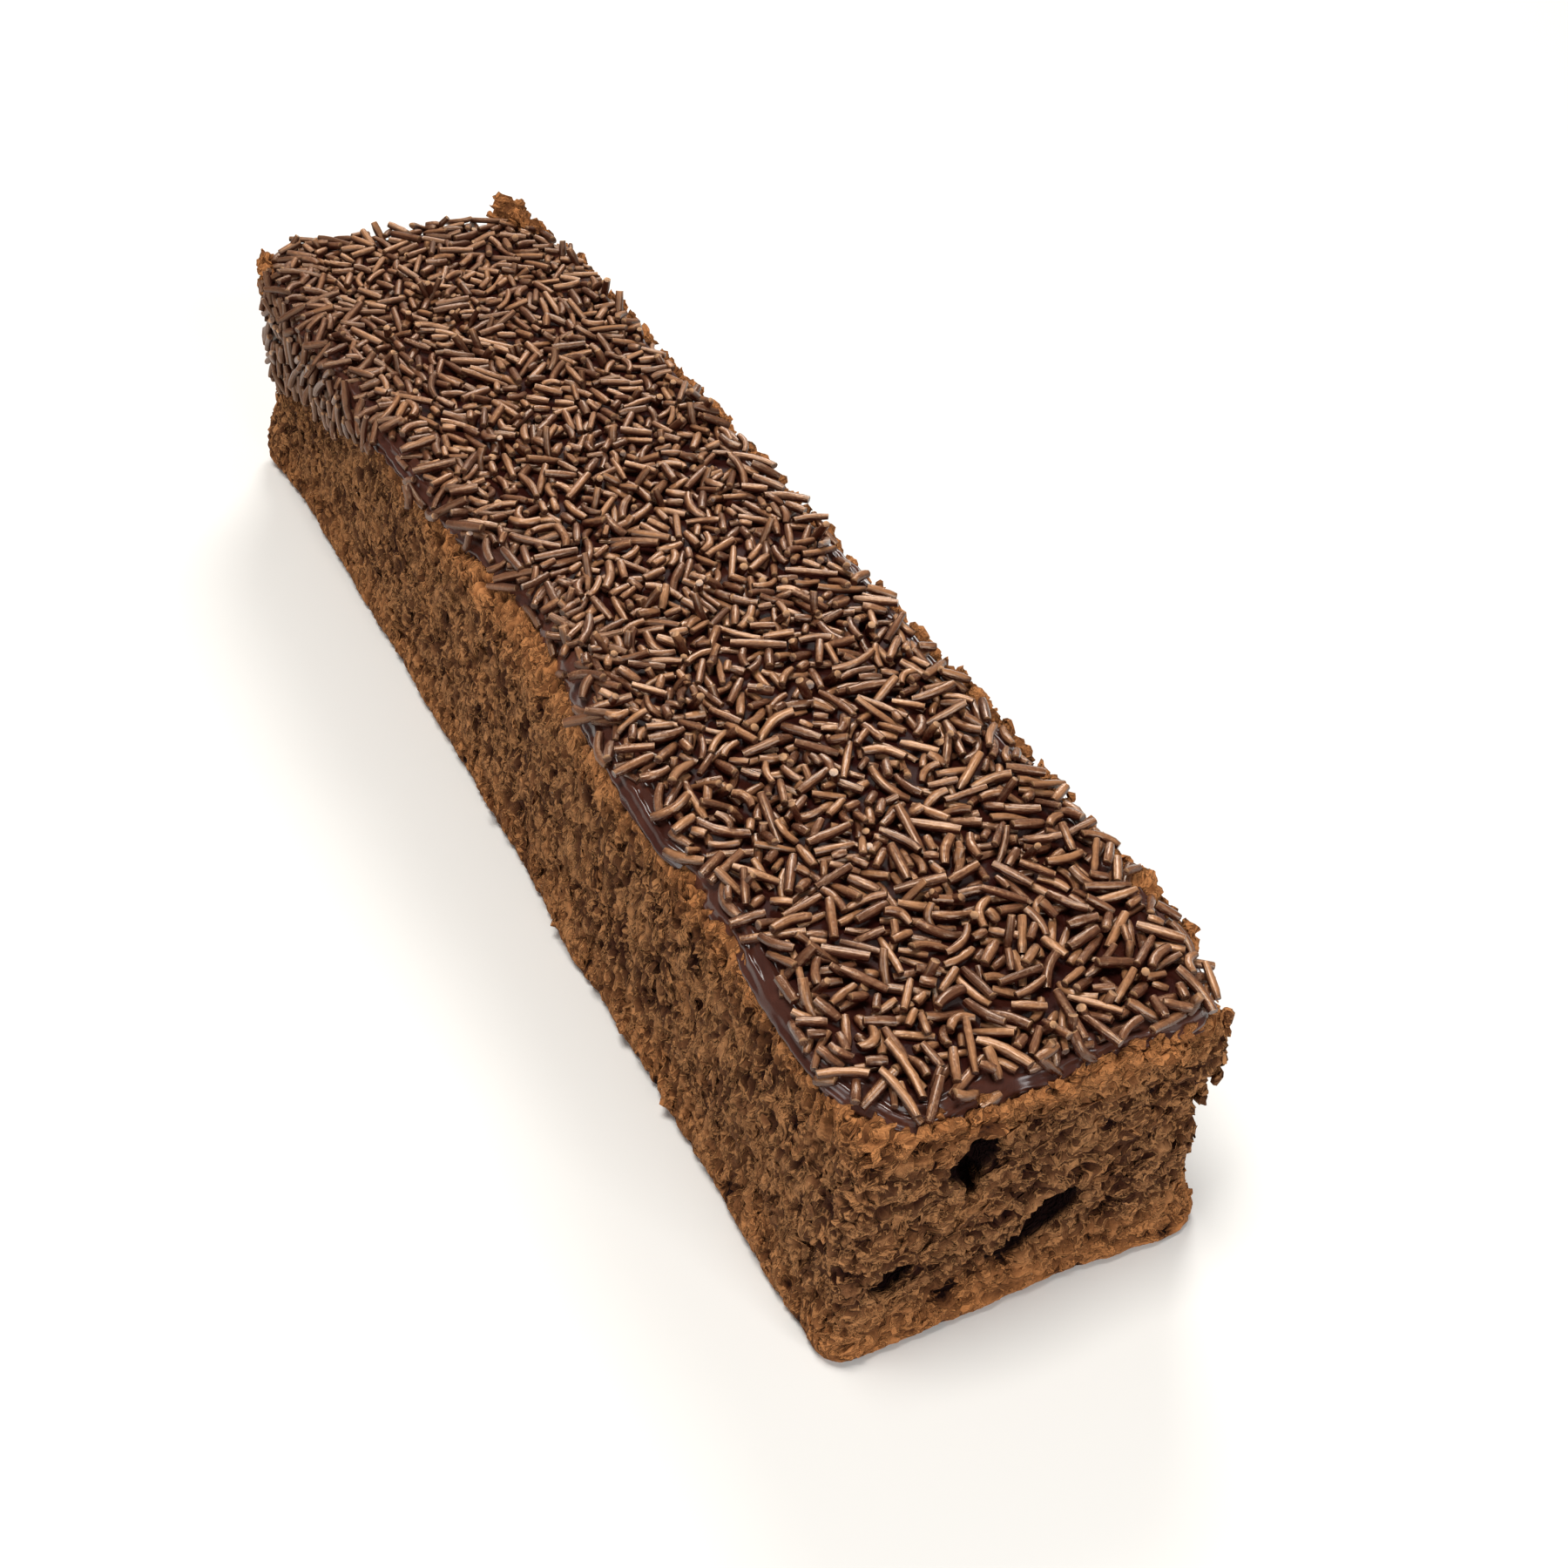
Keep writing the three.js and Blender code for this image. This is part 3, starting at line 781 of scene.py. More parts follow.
@dataclass
class TornFlakes:
    """Small torn flakes of crumb that lie on the sponge's faces, and larger ones along its edges."""

    finish: Material
    seed: int = 3
    steepest: float = 0.9
    foot_gap_mm: float = 3.0
    hollow_most: float = 0.05
    turns: tuple[Triple, Triple] = ((-1.0, -0.4, 0.0), (1.0, 0.4, 6.283))
    half_sizes_mm: tuple[Triple, Triple] = ((0.6, 0.3, 0.12), (2.0, 0.8, 0.26))
    small_tones: Pair = (-0.4, 0.7)
    first_seed: int = 11
    rows: tuple[FlakeRow, ...] = (
        FlakeRow((HALF_WIDTH + 0.3, -HALF_LENGTH + 14), (HALF_WIDTH + 0.8, HALF_LENGTH - 14), (1, 0), 230),
        FlakeRow((HALF_WIDTH - 8, HALF_LENGTH), (-HALF_WIDTH + 2, HALF_LENGTH), (0, 1), 44),
        FlakeRow((-HALF_WIDTH + 9, -HALF_LENGTH), (HALF_WIDTH - 9, -HALF_LENGTH), (0, -1), 46, (-0.4, -0.4)),
        FlakeRow((-HALF_WIDTH, HALF_LENGTH - 9), (-HALF_WIDTH, HALF_LENGTH - 1), (-1, 0), 14, (0.6, 0.6)),
        FlakeRow(
            (HALF_WIDTH - 10, HALF_LENGTH - 0.3),
            (HALF_WIDTH - 2.5, HALF_LENGTH - 11.5),
            (0.85, 0.53),
            90,
            (7.4, 3.6),
            6.0,
        ),
        FlakeRow(
            (-HALF_WIDTH - 1.2, HALF_LENGTH - 6.5),
            (-HALF_WIDTH + 0.2, HALF_LENGTH - 0.5),
            (-1, 0),
            46,
            (1.0, 1.6),
            11.0,
        ),
        FlakeRow(
            (HALF_WIDTH - 0.7, -HALF_LENGTH + 5.6),
            (HALF_WIDTH - 2.3, -HALF_LENGTH + 2.1),
            (0.9, -0.4),
            26,
            (-3.0, -3.0),
            34.0,
        ),
        FlakeRow(
            (-HALF_WIDTH - 1.0, -HALF_LENGTH + 20),
            (-HALF_WIDTH - 0.8, HALF_LENGTH - 8),
            (-1, 0),
            44,
            (-41.5, -41.5),
        ),
    )
    across_mm: Pair = (-0.3, 0.6)
    height_shake_mm: float = 0.6
    pitch: float = 0.5
    yaw: float = 0.3
    lean: Pair = (0.2, 0.35)
    least_mm: Triple = (0.8, 0.45, 0.5)
    most_mm: Triple = (2.4, 1.0, 1.4)
    tones: Pair = (-0.6, 0.7)
    sizes: Sizes = field(
        default_factory=lambda: {
            "Flakes Per Square Metre": 70000.0,
            "Seed": 5,
            "Ragged Size": 1.2,
            "Ragged Depth": 0.7,
        }
    )
    rim_sizes: Sizes = field(default_factory=lambda: {"Ragged Size": 1.1, "Ragged Depth": 1.3})

    def ragged(self, node: Adder, given: Any, flakes: Node) -> None:
        """Adds the nodes that pull flakes out of shape, and ends their tree.

        Args:
            node: What adds a node to the tree.
            given: The sockets of the tree's inputs.
            flakes: The node that gives the flakes as instances.
        """
        real = node("GeometryNodeRealizeInstances", {"Geometry": flakes})
        finer = node(MATH, [1 / MM, given["Ragged Size"]], operation="DIVIDE")
        pull = node(NOISE, {"Vector": node(POSITION), "Scale": finer, "Detail": 1.0})
        centred = node(VECTOR, [pull.outputs["Color"], (MIDDLE,) * 3], operation="SUBTRACT")
        depth = node(MATH, [given["Ragged Depth"], MM / MIDDLE], operation="MULTIPLY")
        offset = node(VECTOR, [centred, depth], operation="SCALE")
        torn = node(MOVE, {"Geometry": real, "Offset": offset})
        end_tree(node, given, node("GeometryNodeSetShadeSmooth", {"Geometry": torn, "Shade Smooth": False}))

    def face_tree(self) -> Tree:
        """Builds the tree that scatters flakes over the sponge's upright faces.

        Returns:
            The tree.
        """
        tree, node, given = new_geometry_tree("torn_flakes", self.sizes)
        outwards, where = (node(SPLIT, [node(kind)]).outputs for kind in (NORMAL, POSITION))
        steep = node(MATH, [outwards["Z"]], operation="ABSOLUTE")
        hollow, held = (node(NAMED, {"Name": label}, data_type="FLOAT") for label in ("hollow", "relief"))
        upright, off_foot, closed = (
            node(COMPARE, {"A": value, "B": limit}, operation=test, data_type="FLOAT")
            for value, limit, test in (
                (steep, self.steepest, "LESS_THAN"),
                (where["Z"], self.foot_gap_mm * MM, "GREATER_THAN"),
                (hollow, self.hollow_most, "LESS_THAN"),
            )
        )
        clear = node("FunctionNodeBooleanMath", [upright, off_foot], operation="AND")
        chosen = node("FunctionNodeBooleanMath", [clear, closed], operation="AND")
        spread = {"Density": given["Flakes Per Square Metre"], "Seed": given["Seed"]}
        area = {"Mesh": given["Geometry"], "Selection": chosen}
        points = node("GeometryNodeDistributePointsOnFaces", {**area, **spread})
        spans = (self.turns, self.half_sizes_mm, self.small_tones)
        kinds = ("FLOAT_VECTOR", "FLOAT_VECTOR", "FLOAT")
        turn, stretch, luck = (
            node(RANDOM, {"Min": least, "Max": most, "Seed": self.first_seed + i}, data_type=kind)
            for i, ((least, most), kind) in enumerate(zip(spans, kinds))
        )
        spin = node("FunctionNodeEulerToRotation", [turn])
        rotation = {"Rotation": points.outputs["Rotation"], "Rotate By": spin}
        laid = node("FunctionNodeRotateRotation", rotation, rotation_space="LOCAL")
        # Each flake takes the relief under it, so flakes in pits get the painted shade, plus a random tone
        level = node(MATH, [held, luck], operation="ADD")
        tone = {"Geometry": points, "Name": "relief", "Value": level}
        toned = node(STORE, tone, data_type="FLOAT", domain="POINT")
        flake = node("GeometryNodeMeshIcoSphere", {"Radius": MM, "Subdivisions": 1})
        inputs = {"Points": toned, "Instance": flake, "Rotation": laid, "Scale": stretch}
        self.ragged(node, given, node("GeometryNodeInstanceOnPoints", inputs))
        return tree

    def rim_tree(self) -> Tree:
        """Builds the tree that stands a flake on each place along the edges.

        Returns:
            The tree.
        """
        tree, node, given = new_geometry_tree("rim_flakes", self.rim_sizes)
        flake = node("GeometryNodeMeshIcoSphere", {"Radius": MM, "Subdivisions": 2})
        self.ragged(node, given, set_on_points(node, given["Geometry"], flake))
        return tree

    def rim_places(self) -> Mesh:
        """Draws where the larger flakes stand.

        Returns:
            A mesh of points with each flake's directions, half sizes and tone.
        """
        draw = np.random.default_rng(self.seed)
        parts = []
        for row in self.rows:
            count = row.count
            run = np.subtract(row.last, row.first)
            way = run / np.linalg.norm(run)
            share = draw.random((count, 1))
            spots = row.first + share * run + draw.normal(*self.across_mm, (count, 1)) * row.out
            rise = np.interp(share.ravel(), (0, 1), row.lifts) - row.depth * draw.random(count)
            height = SPONGE_HEIGHT + rise + draw.normal(0, self.height_shake_mm, count)
            heading = np.column_stack([np.tile(way, (count, 1)), draw.normal(0, self.pitch, count)])
            heading[:, :2] += draw.normal(0, self.yaw, (count, 1)) * row.out
            up = np.column_stack([draw.normal(*self.lean, (count, 1)) * row.out, np.ones(count)])
            stretch = draw.uniform(self.least_mm, self.most_mm, (count, 3))
            parts.append(np.column_stack([spots, height, heading, up, stretch]))
        spots, heading, up, stretch = np.split(np.concatenate(parts), 4, axis=1)
        tones = draw.uniform(*self.tones, len(spots))
        columns = {"heading": heading, "up": up, "stretch": stretch, "relief": tones}
        return points_mesh("rim_places", spots, columns)

    def build(self, sponge: Object) -> list[Object]:
        """Builds the flakes and dresses them.

        Args:
            sponge: The sponge that they lie on.

        Returns:
            The small flakes and the standing ones.
        """
        small = run_tree(sponge.data.copy(), self.face_tree(), self.sizes, self.finish, "sponge_flakes")
        large = run_tree(self.rim_places(), self.rim_tree(), self.rim_sizes, self.finish, "sponge_rim")
        return [small, large]


@dataclass
class IcingLayer:
    """The poured icing: a lid over the sponge with a skirt that runs down or stops short in places."""

    wall_mm: float = 0.5
    run_wall_mm: float = 1.2
    drop_mm: float = 0.8
    column_mm: float = 0.8
    shoulder_mm: float = 2.4
    shoulder_steps: int = 14
    thin_mm: float = 1.5
    thin_from_mm: float = 2.6
    thin_power: float = 1.5
    fold_mm: float = 0.4
    fold_usual: float = 0.65
    fold_limits: Pair = (0.15, 1.0)
    fold_start_mm: float = 0.5
    fold_fade_mm: float = 2.0
    ridge_mm: float = 2.3
    rim_mm: float = 6.0
    rim_step_mm: float = 0.3
    flat_rings: int = 7
    least_hang_mm: float = 0.6
    hang_shares: tuple[float, float, int] = (0.1, 0.9, 9)
    tuck_mm: float = 0.5
    lip_profile_mm: tuple[Pair, ...] = ((0.1, 0.55), (0.5, 0.15), (1.1, 0.0), (1.9, 0.4), (4.4, 1.6))
    lip_rings: int = 10
    lip_gloss: Pair = (0.75, 0.6)
    bare_gloss_mm: float = 4.0
    corner_radii_mm: tuple[float, float, float, float] = (9.0, 9.0, 5.0, 9.0)
    top_ripples: tuple[Ripple, ...] = (Ripple(0.35, 26.0, 3.7), Ripple(0.15, 9.0, 8.1))
    wall_ripples: tuple[Ripple, ...] = (
        Ripple(0.55, 9.0, 1.3),
        Ripple(0.33, 3.4, 5.2),
        Ripple(0.25, 1.6, 4.4),
    )
    lip_ripples: tuple[Ripple, ...] = (Ripple(1.1, 7.0, 9.4), Ripple(0.6, 2.6, 2.8))
    drift_ripples: tuple[Ripple, ...] = (Ripple(2.4, 16.0, 6.6), Ripple(1.2, 5.0, 2.2))
    fold_ripple: Ripple = Ripple(1.2, 12.0, 7.7)
    runs: tuple[Swell, ...] = (
        Swell(-HALF_WIDTH, HALF_LENGTH, 14, 42, 23),
        Swell(-HALF_WIDTH, 78, 10, 16, 5),
        Swell(HALF_WIDTH, -20, 10, 16, 3),
        Swell(HALF_WIDTH, 92, 10, 14, 4),
        Swell(6, HALF_LENGTH, 10, 10, 3),
    )
    bare: tuple[Swell, ...] = (
        Swell(-HALF_WIDTH, -9, 20, 30, 5.2),
        Swell(-HALF_WIDTH, -86, 6, 9, 2.3),
        Swell(-HALF_WIDTH, -74.5, 6, 5, 2.2),
        Swell(-HALF_WIDTH, -104, 6, 12, 0.6),
        Swell(-HALF_WIDTH, -HALF_LENGTH, 6, 9, 4.4),
        Swell(2, -HALF_LENGTH, 24, 10, 1.7),
        Swell(HALF_WIDTH, -HALF_LENGTH, 8, 14, 2.2),
        Swell(HALF_WIDTH, 0, 6, 400, 1.1),
        Swell(HALF_WIDTH, HALF_LENGTH, 9, 12, 4.6),
        Swell(0, HALF_LENGTH, 30, 6, 1.2),
        Swell(-HALF_WIDTH, HALF_LENGTH, 5, 7, 3.4),
    )

    def outline(self) -> tuple[Array, Array]:
        """Walks round the bar's plan, anticlockwise from the near right corner.

        Returns:
            The points and their outward directions, in millimetres.
        """
        signs = ((1, -1), (1, 1), (-1, 1), (-1, -1))
        corners = [
            (right * (HALF_WIDTH - r), far * (HALF_LENGTH - r), r)
            for (right, far), r in zip(signs, self.corner_radii_mm)
        ]
        spots, ways = [], []
        for i, (x, y, r) in enumerate(corners):
            start = 90 * i - 90
            steps = math.ceil(math.radians(90) * r / self.column_mm)
            turn = np.radians(start + 90 * np.arange(steps) / steps)
            way = np.column_stack([np.cos(turn), np.sin(turn)])
            spots.append((x, y) + r * way)
            ways.append(way)
            ahead = np.radians(start + 90)
            way = np.array([[np.cos(ahead), np.sin(ahead)]])
            first = (x, y) + r * way
            *middle, turning = corners[(i + 1) % len(corners)]
            last = middle + turning * way
            count = math.ceil(np.linalg.norm(last - first) / self.column_mm)
            share = np.arange(count)[:, None] / count
            spots.append(first + share * (last - first))
            ways.append(np.repeat(way, count, axis=0))
        return np.concatenate(spots), np.concatenate(ways)

    def drop(self, x: Array, y: Array) -> Array:
        """How far the skirt hangs below the sponge's top at points of the outline."""
        return self.drop_mm + sum(run.at(x, y) for run in self.runs)

    def bareness(self, x: Array, y: Array) -> Array:
        """How far the icing stops short of the edge at points of the outline."""
        return sum(stretch.at(x, y) for stretch in self.bare)

    def wall(self, x: Array, y: Array) -> Array:
        """How far the icing's side stands out from the sponge's side at points of the outline."""
        swollen = self.run_wall_mm * (1 - self.drop_mm / self.drop(x, y))
        return self.wall_mm + swollen - self.bareness(x, y)

    def thinning(self, x: Array, y: Array) -> Array:
        """How much lower the icing lies at its edge, where it stops short, at points of the outline."""
        return self.thin_mm * np.clip(self.bareness(x, y) / self.thin_from_mm, 0, 1)

    def top(self, points: Array) -> Array:
        """The height of the icing's top at points in plan, with the slow swells of a poured layer."""
        return sum((ripple.at(points) for ripple in self.top_ripples), start=ICING_TOP)

    def room(self, x: Array, y: Array) -> Array:
        """Works out how far points in plan lie inside the icing's edge.

        Args:
            x: How far right each point lies.
            y: How far along each point lies.

        Returns:
            The distance to the edge, which is negative outside.
        """
        near_right, far_right, far_left, near_left = self.corner_radii_mm
        radius = np.where(x < 0, np.where(y < 0, near_left, far_left), np.where(y < 0, near_right, far_right))
        across = np.abs(x) - HALF_WIDTH + radius
        along = np.abs(y) - HALF_LENGTH + radius
        outside = np.hypot(np.maximum(across, 0), np.maximum(along, 0))
        past = outside + np.minimum(np.maximum(across, along), 0)
        edge_x = np.where(across > along, np.sign(x) * HALF_WIDTH, x)
        edge_y = np.where(across > along, y, np.sign(y) * HALF_LENGTH)
        return radius - past + self.wall(edge_x, edge_y)

    def rings(self) -> Array:
        """Works out the layer's skin as rings from the middle of the top, over the edge and under the lip.

        Returns:
            The rings' points, in millimetres, by ring, column and axis.
        """
        spots, ways = self.outline()
        x, y = spots.T
        around = np.concatenate([[0.0], np.cumsum(np.linalg.norm(np.diff(spots, axis=0), axis=1))])
        turn = 2 * np.pi * around / (around[-1] + self.column_mm)
        road = np.column_stack([np.cos(turn), np.sin(turn)]) * around[-1] / (2 * np.pi)
        uneven, ragged, drift = (
            sum(ripple.at(road) for ripple in ripples)
            for ripples in (self.wall_ripples, self.lip_ripples, self.drift_ripples)
        )
        strength = np.clip(self.fold_usual + self.fold_ripple.at(road), *self.fold_limits)
        wall = self.wall(x, y) + uneven
        lip = SPONGE_HEIGHT - self.drop(x, y) + ragged
        thin = self.thinning(x, y)
        spine_half = HALF_LENGTH - HALF_WIDTH
        spine = np.column_stack([np.zeros_like(y), np.clip(y, -spine_half, spine_half)])
        inner = spots + ways * (wall - self.rim_mm)[:, None]
        rings = []
        for share in np.linspace(1.0, 0.0, self.flat_rings + 1)[:-1]:
            spot = inner + share * (spine - inner)
            rings.append(np.column_stack([spot, self.top(spot)]))
        shoulder = self.top(spots + ways * wall[:, None])
        radius = self.shoulder_mm
        steps = np.arange(0.0, self.rim_mm - radius, self.rim_step_mm)
        profile = [(self.rim_mm - step, 0.0) for step in steps]
        for angle in np.linspace(0, np.pi / 2, self.shoulder_steps):
            profile.append((radius * (1 - np.sin(angle)), radius * (1 - np.cos(angle))))
        for inset, fall in profile:
            waves = np.sin(2 * np.pi * (inset - fall) / self.ridge_mm + drift)
            fade = np.clip((self.rim_mm - self.fold_start_mm - inset) / self.fold_fade_mm, 0, 1)
            fold = self.fold_mm * strength * waves * fade
            sink = thin * np.clip(1 - inset / self.rim_mm, 0, 1) ** self.thin_power
            steep = min(fall / radius, 1.0)
            spot = spots + ways * (wall - inset + fold * steep)[:, None]
            rings.append(np.column_stack([spot, shoulder - fall - sink + fold * (1 - steep)]))
        start = np.minimum(shoulder - thin - radius, SPONGE_HEIGHT)
        hang = np.maximum(start - lip, self.least_hang_mm)
        for share in np.linspace(*self.hang_shares):
            z = start - share * (hang - self.tuck_mm)
            waves = np.sin(2 * np.pi * (z - ICING_TOP) / self.ridge_mm + drift)
            fold = self.fold_mm * strength * waves
            rings.append(np.column_stack([spots + ways * (wall + fold)[:, None], z]))
        for inset, rise in self.lip_profile_mm:
            rings.append(np.column_stack([spots + ways * (wall - inset)[:, None], start - hang + rise]))
        return np.array(rings)

    def build(self) -> Object:
        """Builds the icing and dresses it.

        Returns:
            The finished piece.
        """
        rings = self.rings()
        count = rings.shape[1]
        columns = np.arange(count)
        following = np.roll(columns, -1)
        faces = []
        for ring in range(len(rings) - 1):
            low, high = ring * count, (ring + 1) * count
            sides = [low + columns, high + columns, high + following, low + following]
            faces += np.column_stack(sides).tolist()
        faces.append([(len(rings) - 1) * count + i for i in reversed(range(count))])
        mesh = bpy.data.meshes.new("poured_icing")
        mesh.from_pydata((rings.reshape(-1, 3) * MM).tolist(), [], faces)
        shares = np.clip((np.arange(len(rings)) - self.flat_rings) / self.lip_rings, 0, 1)
        bared = np.clip(self.bareness(*self.outline()[0].T) / self.bare_gloss_mm, 0, 1)
        usual, more = self.lip_gloss
        mark(mesh, "lip", np.outer(shares, usual + more * bared).ravel())
        with editing(mesh) as work:
            bmesh.ops.remove_doubles(work, verts=work.verts, dist=MERGE)
            bmesh.ops.recalc_face_normals(work, faces=work.faces)
        mesh.shade_smooth()
        mesh.materials.append(PouredIcingFinish().material())
        return new_object("poured_icing", mesh)


@dataclass
class Bed:
    """A flat patch of icing that sprinkles fall on, as a map of heights, in millimetres."""

    corner: Array
    across: Array
    along: Array
    heights: Array
    cell: float
    bottom: Array = field(init=False)

    touching: ClassVar[Array] = np.array([-0.8, 0.0, 0.8])
    pressing: ClassVar[Array] = np.linspace(-0.95, 0.95, 7)
    least_held: ClassVar[float] = 0.85

    def __post_init__(self) -> None:
        """Keeps the map as it was before the first sprinkle."""
        self.bottom = self.heights.copy()

    def at(self, spot: Array) -> tuple[Array, Array, Array, Array]:
        """The point below a spot on the map, and the directions across, along and up there."""
        point = self.corner + spot[0] * self.across + spot[1] * self.along
        return point, self.across, self.along, np.cross(self.across, self.along)

    def cells(self, points: Array) -> tuple[Array, tuple[Array, ...]]:
        """Finds the map's cells under points.

        Args:
            points: The points, in the bed's own plan.

        Returns:
            Which points lie on the map, and the cells under those.
        """
        index = np.floor(points / self.cell).astype(int)
        inside = ((index >= 0) & (index < self.heights.shape)).all(axis=1)
        return inside, tuple(index[inside].T)

    def look(self, points: Array, heights: Array) -> Array:
        """Reads a map of heights at points.

        Args:
            points: The points, in the bed's own plan.
            heights: The map, as it is now or as it was at first.

        Returns:
            The height at each point, with minus infinity off the map's edge.
        """
        inside, under = self.cells(points)
        found = np.full(len(points), -np.inf)
        found[inside] = heights[under]
        return found

    def rest(self, lane: Array, side: Array, reach: Array, radius: float) -> Pair | None:
        """Finds how a sprinkle that is dropped on the bed comes to rest on its two outermost supports.

        Args:
            lane: Points along the sprinkle's middle line, in plan.
            side: The direction across it.
            reach: The distance of each point from its middle.
            radius: Half its thickness.

        Returns:
            The height of its middle and its slope, or nothing where an end would hang off the bed.
        """
        points = np.concatenate([lane + s * radius * side for s in self.touching])
        round_part = radius * np.sqrt(1 - self.touching**2)[:, None]
        tops = self.look(points, self.heights).reshape(len(self.touching), -1) + round_part
        need = tops.max(axis=0)
        held = np.isfinite(need)
        left = np.flatnonzero(held & (reach < 0))
        right = np.flatnonzero(held & (reach > 0))
        if held.mean() < self.least_held or not len(left) or not len(right):
            return None
        slope = (need[right][None, :] - need[left][:, None]) / (reach[right][None, :] - reach[left][:, None])
        middle = need[left][:, None] - slope * reach[left][:, None]
        best = np.unravel_index(np.argmax(middle), middle.shape)
        return float(middle[best]), float(slope[best])

    def press(self, lane: Array, side: Array, axis: Array, radius: float) -> None:
        """Adds a resting sprinkle to the map, so that the next ones lie on it.

        Args:
            lane: Points along the sprinkle's middle line, in plan.
            side: The direction across it.
            axis: The height of each point.
            radius: Half its thickness.
        """
        for s in self.pressing:
            inside, under = self.cells(lane + s * radius * side)
            np.maximum.at(self.heights, under, (axis + radius * math.sqrt(1 - s * s))[inside])


@dataclass
class EdgeBed(Bed):
    """A patch of icing that comes up a side and folds over a rounded shoulder, unrolled flat."""

    out: Array
    stand: Array
    shoulder_at: float
    radius: float

    def at(self, spot: Array) -> tuple[Array, Array, Array, Array]:
        """Folds a spot of the unrolled map back over the shoulder.

        Args:
            spot: The spot, in the bed's own plan.

        Returns:
            The point below it, and the directions across, along and up there.
        """
        upright = np.array([0.0, 0.0, 1.0])
        past = spot[1] - self.shoulder_at
        angle = np.clip(past / self.radius, 0, np.pi / 2)
        rise = min(past, 0.0) + self.radius * np.sin(angle)
        back = self.radius * (1 - np.cos(angle)) + max(past - self.radius * np.pi / 2, 0.0)
        stand = self.stand[min(int(spot[0] / self.cell), len(self.stand) - 1)]
        height = self.shoulder_at + rise
        point = self.corner + spot[0] * self.across + (stand - back) * self.out + height * upright
        along = -np.sin(angle) * self.out + np.cos(angle) * upright
        return point, self.across, along, np.cos(angle) * self.out + np.sin(angle) * upright


class SprinkleKind(Enum):
    """The kinds of sprinkle, by how far the middle of each bows to the side, in millimetres."""

    STRAIGHT = 0.0
    CURVED = 0.45
    BENT = 1.0


@dataclass
class Sprinkle:
    """One sprinkle at rest, in millimetres."""

    middle: Array
    heading: Array
    up: Array
    length: float
    thickness: float
    tone: float
    coating: float


@dataclass(frozen=True)
class EdgeStretch:
    """A stretch of the left edge with sprinkles: its ends along the bar, and how they lie."""

    start: float
    end: float
    drops: int
    turn_spread: float
    coating: float


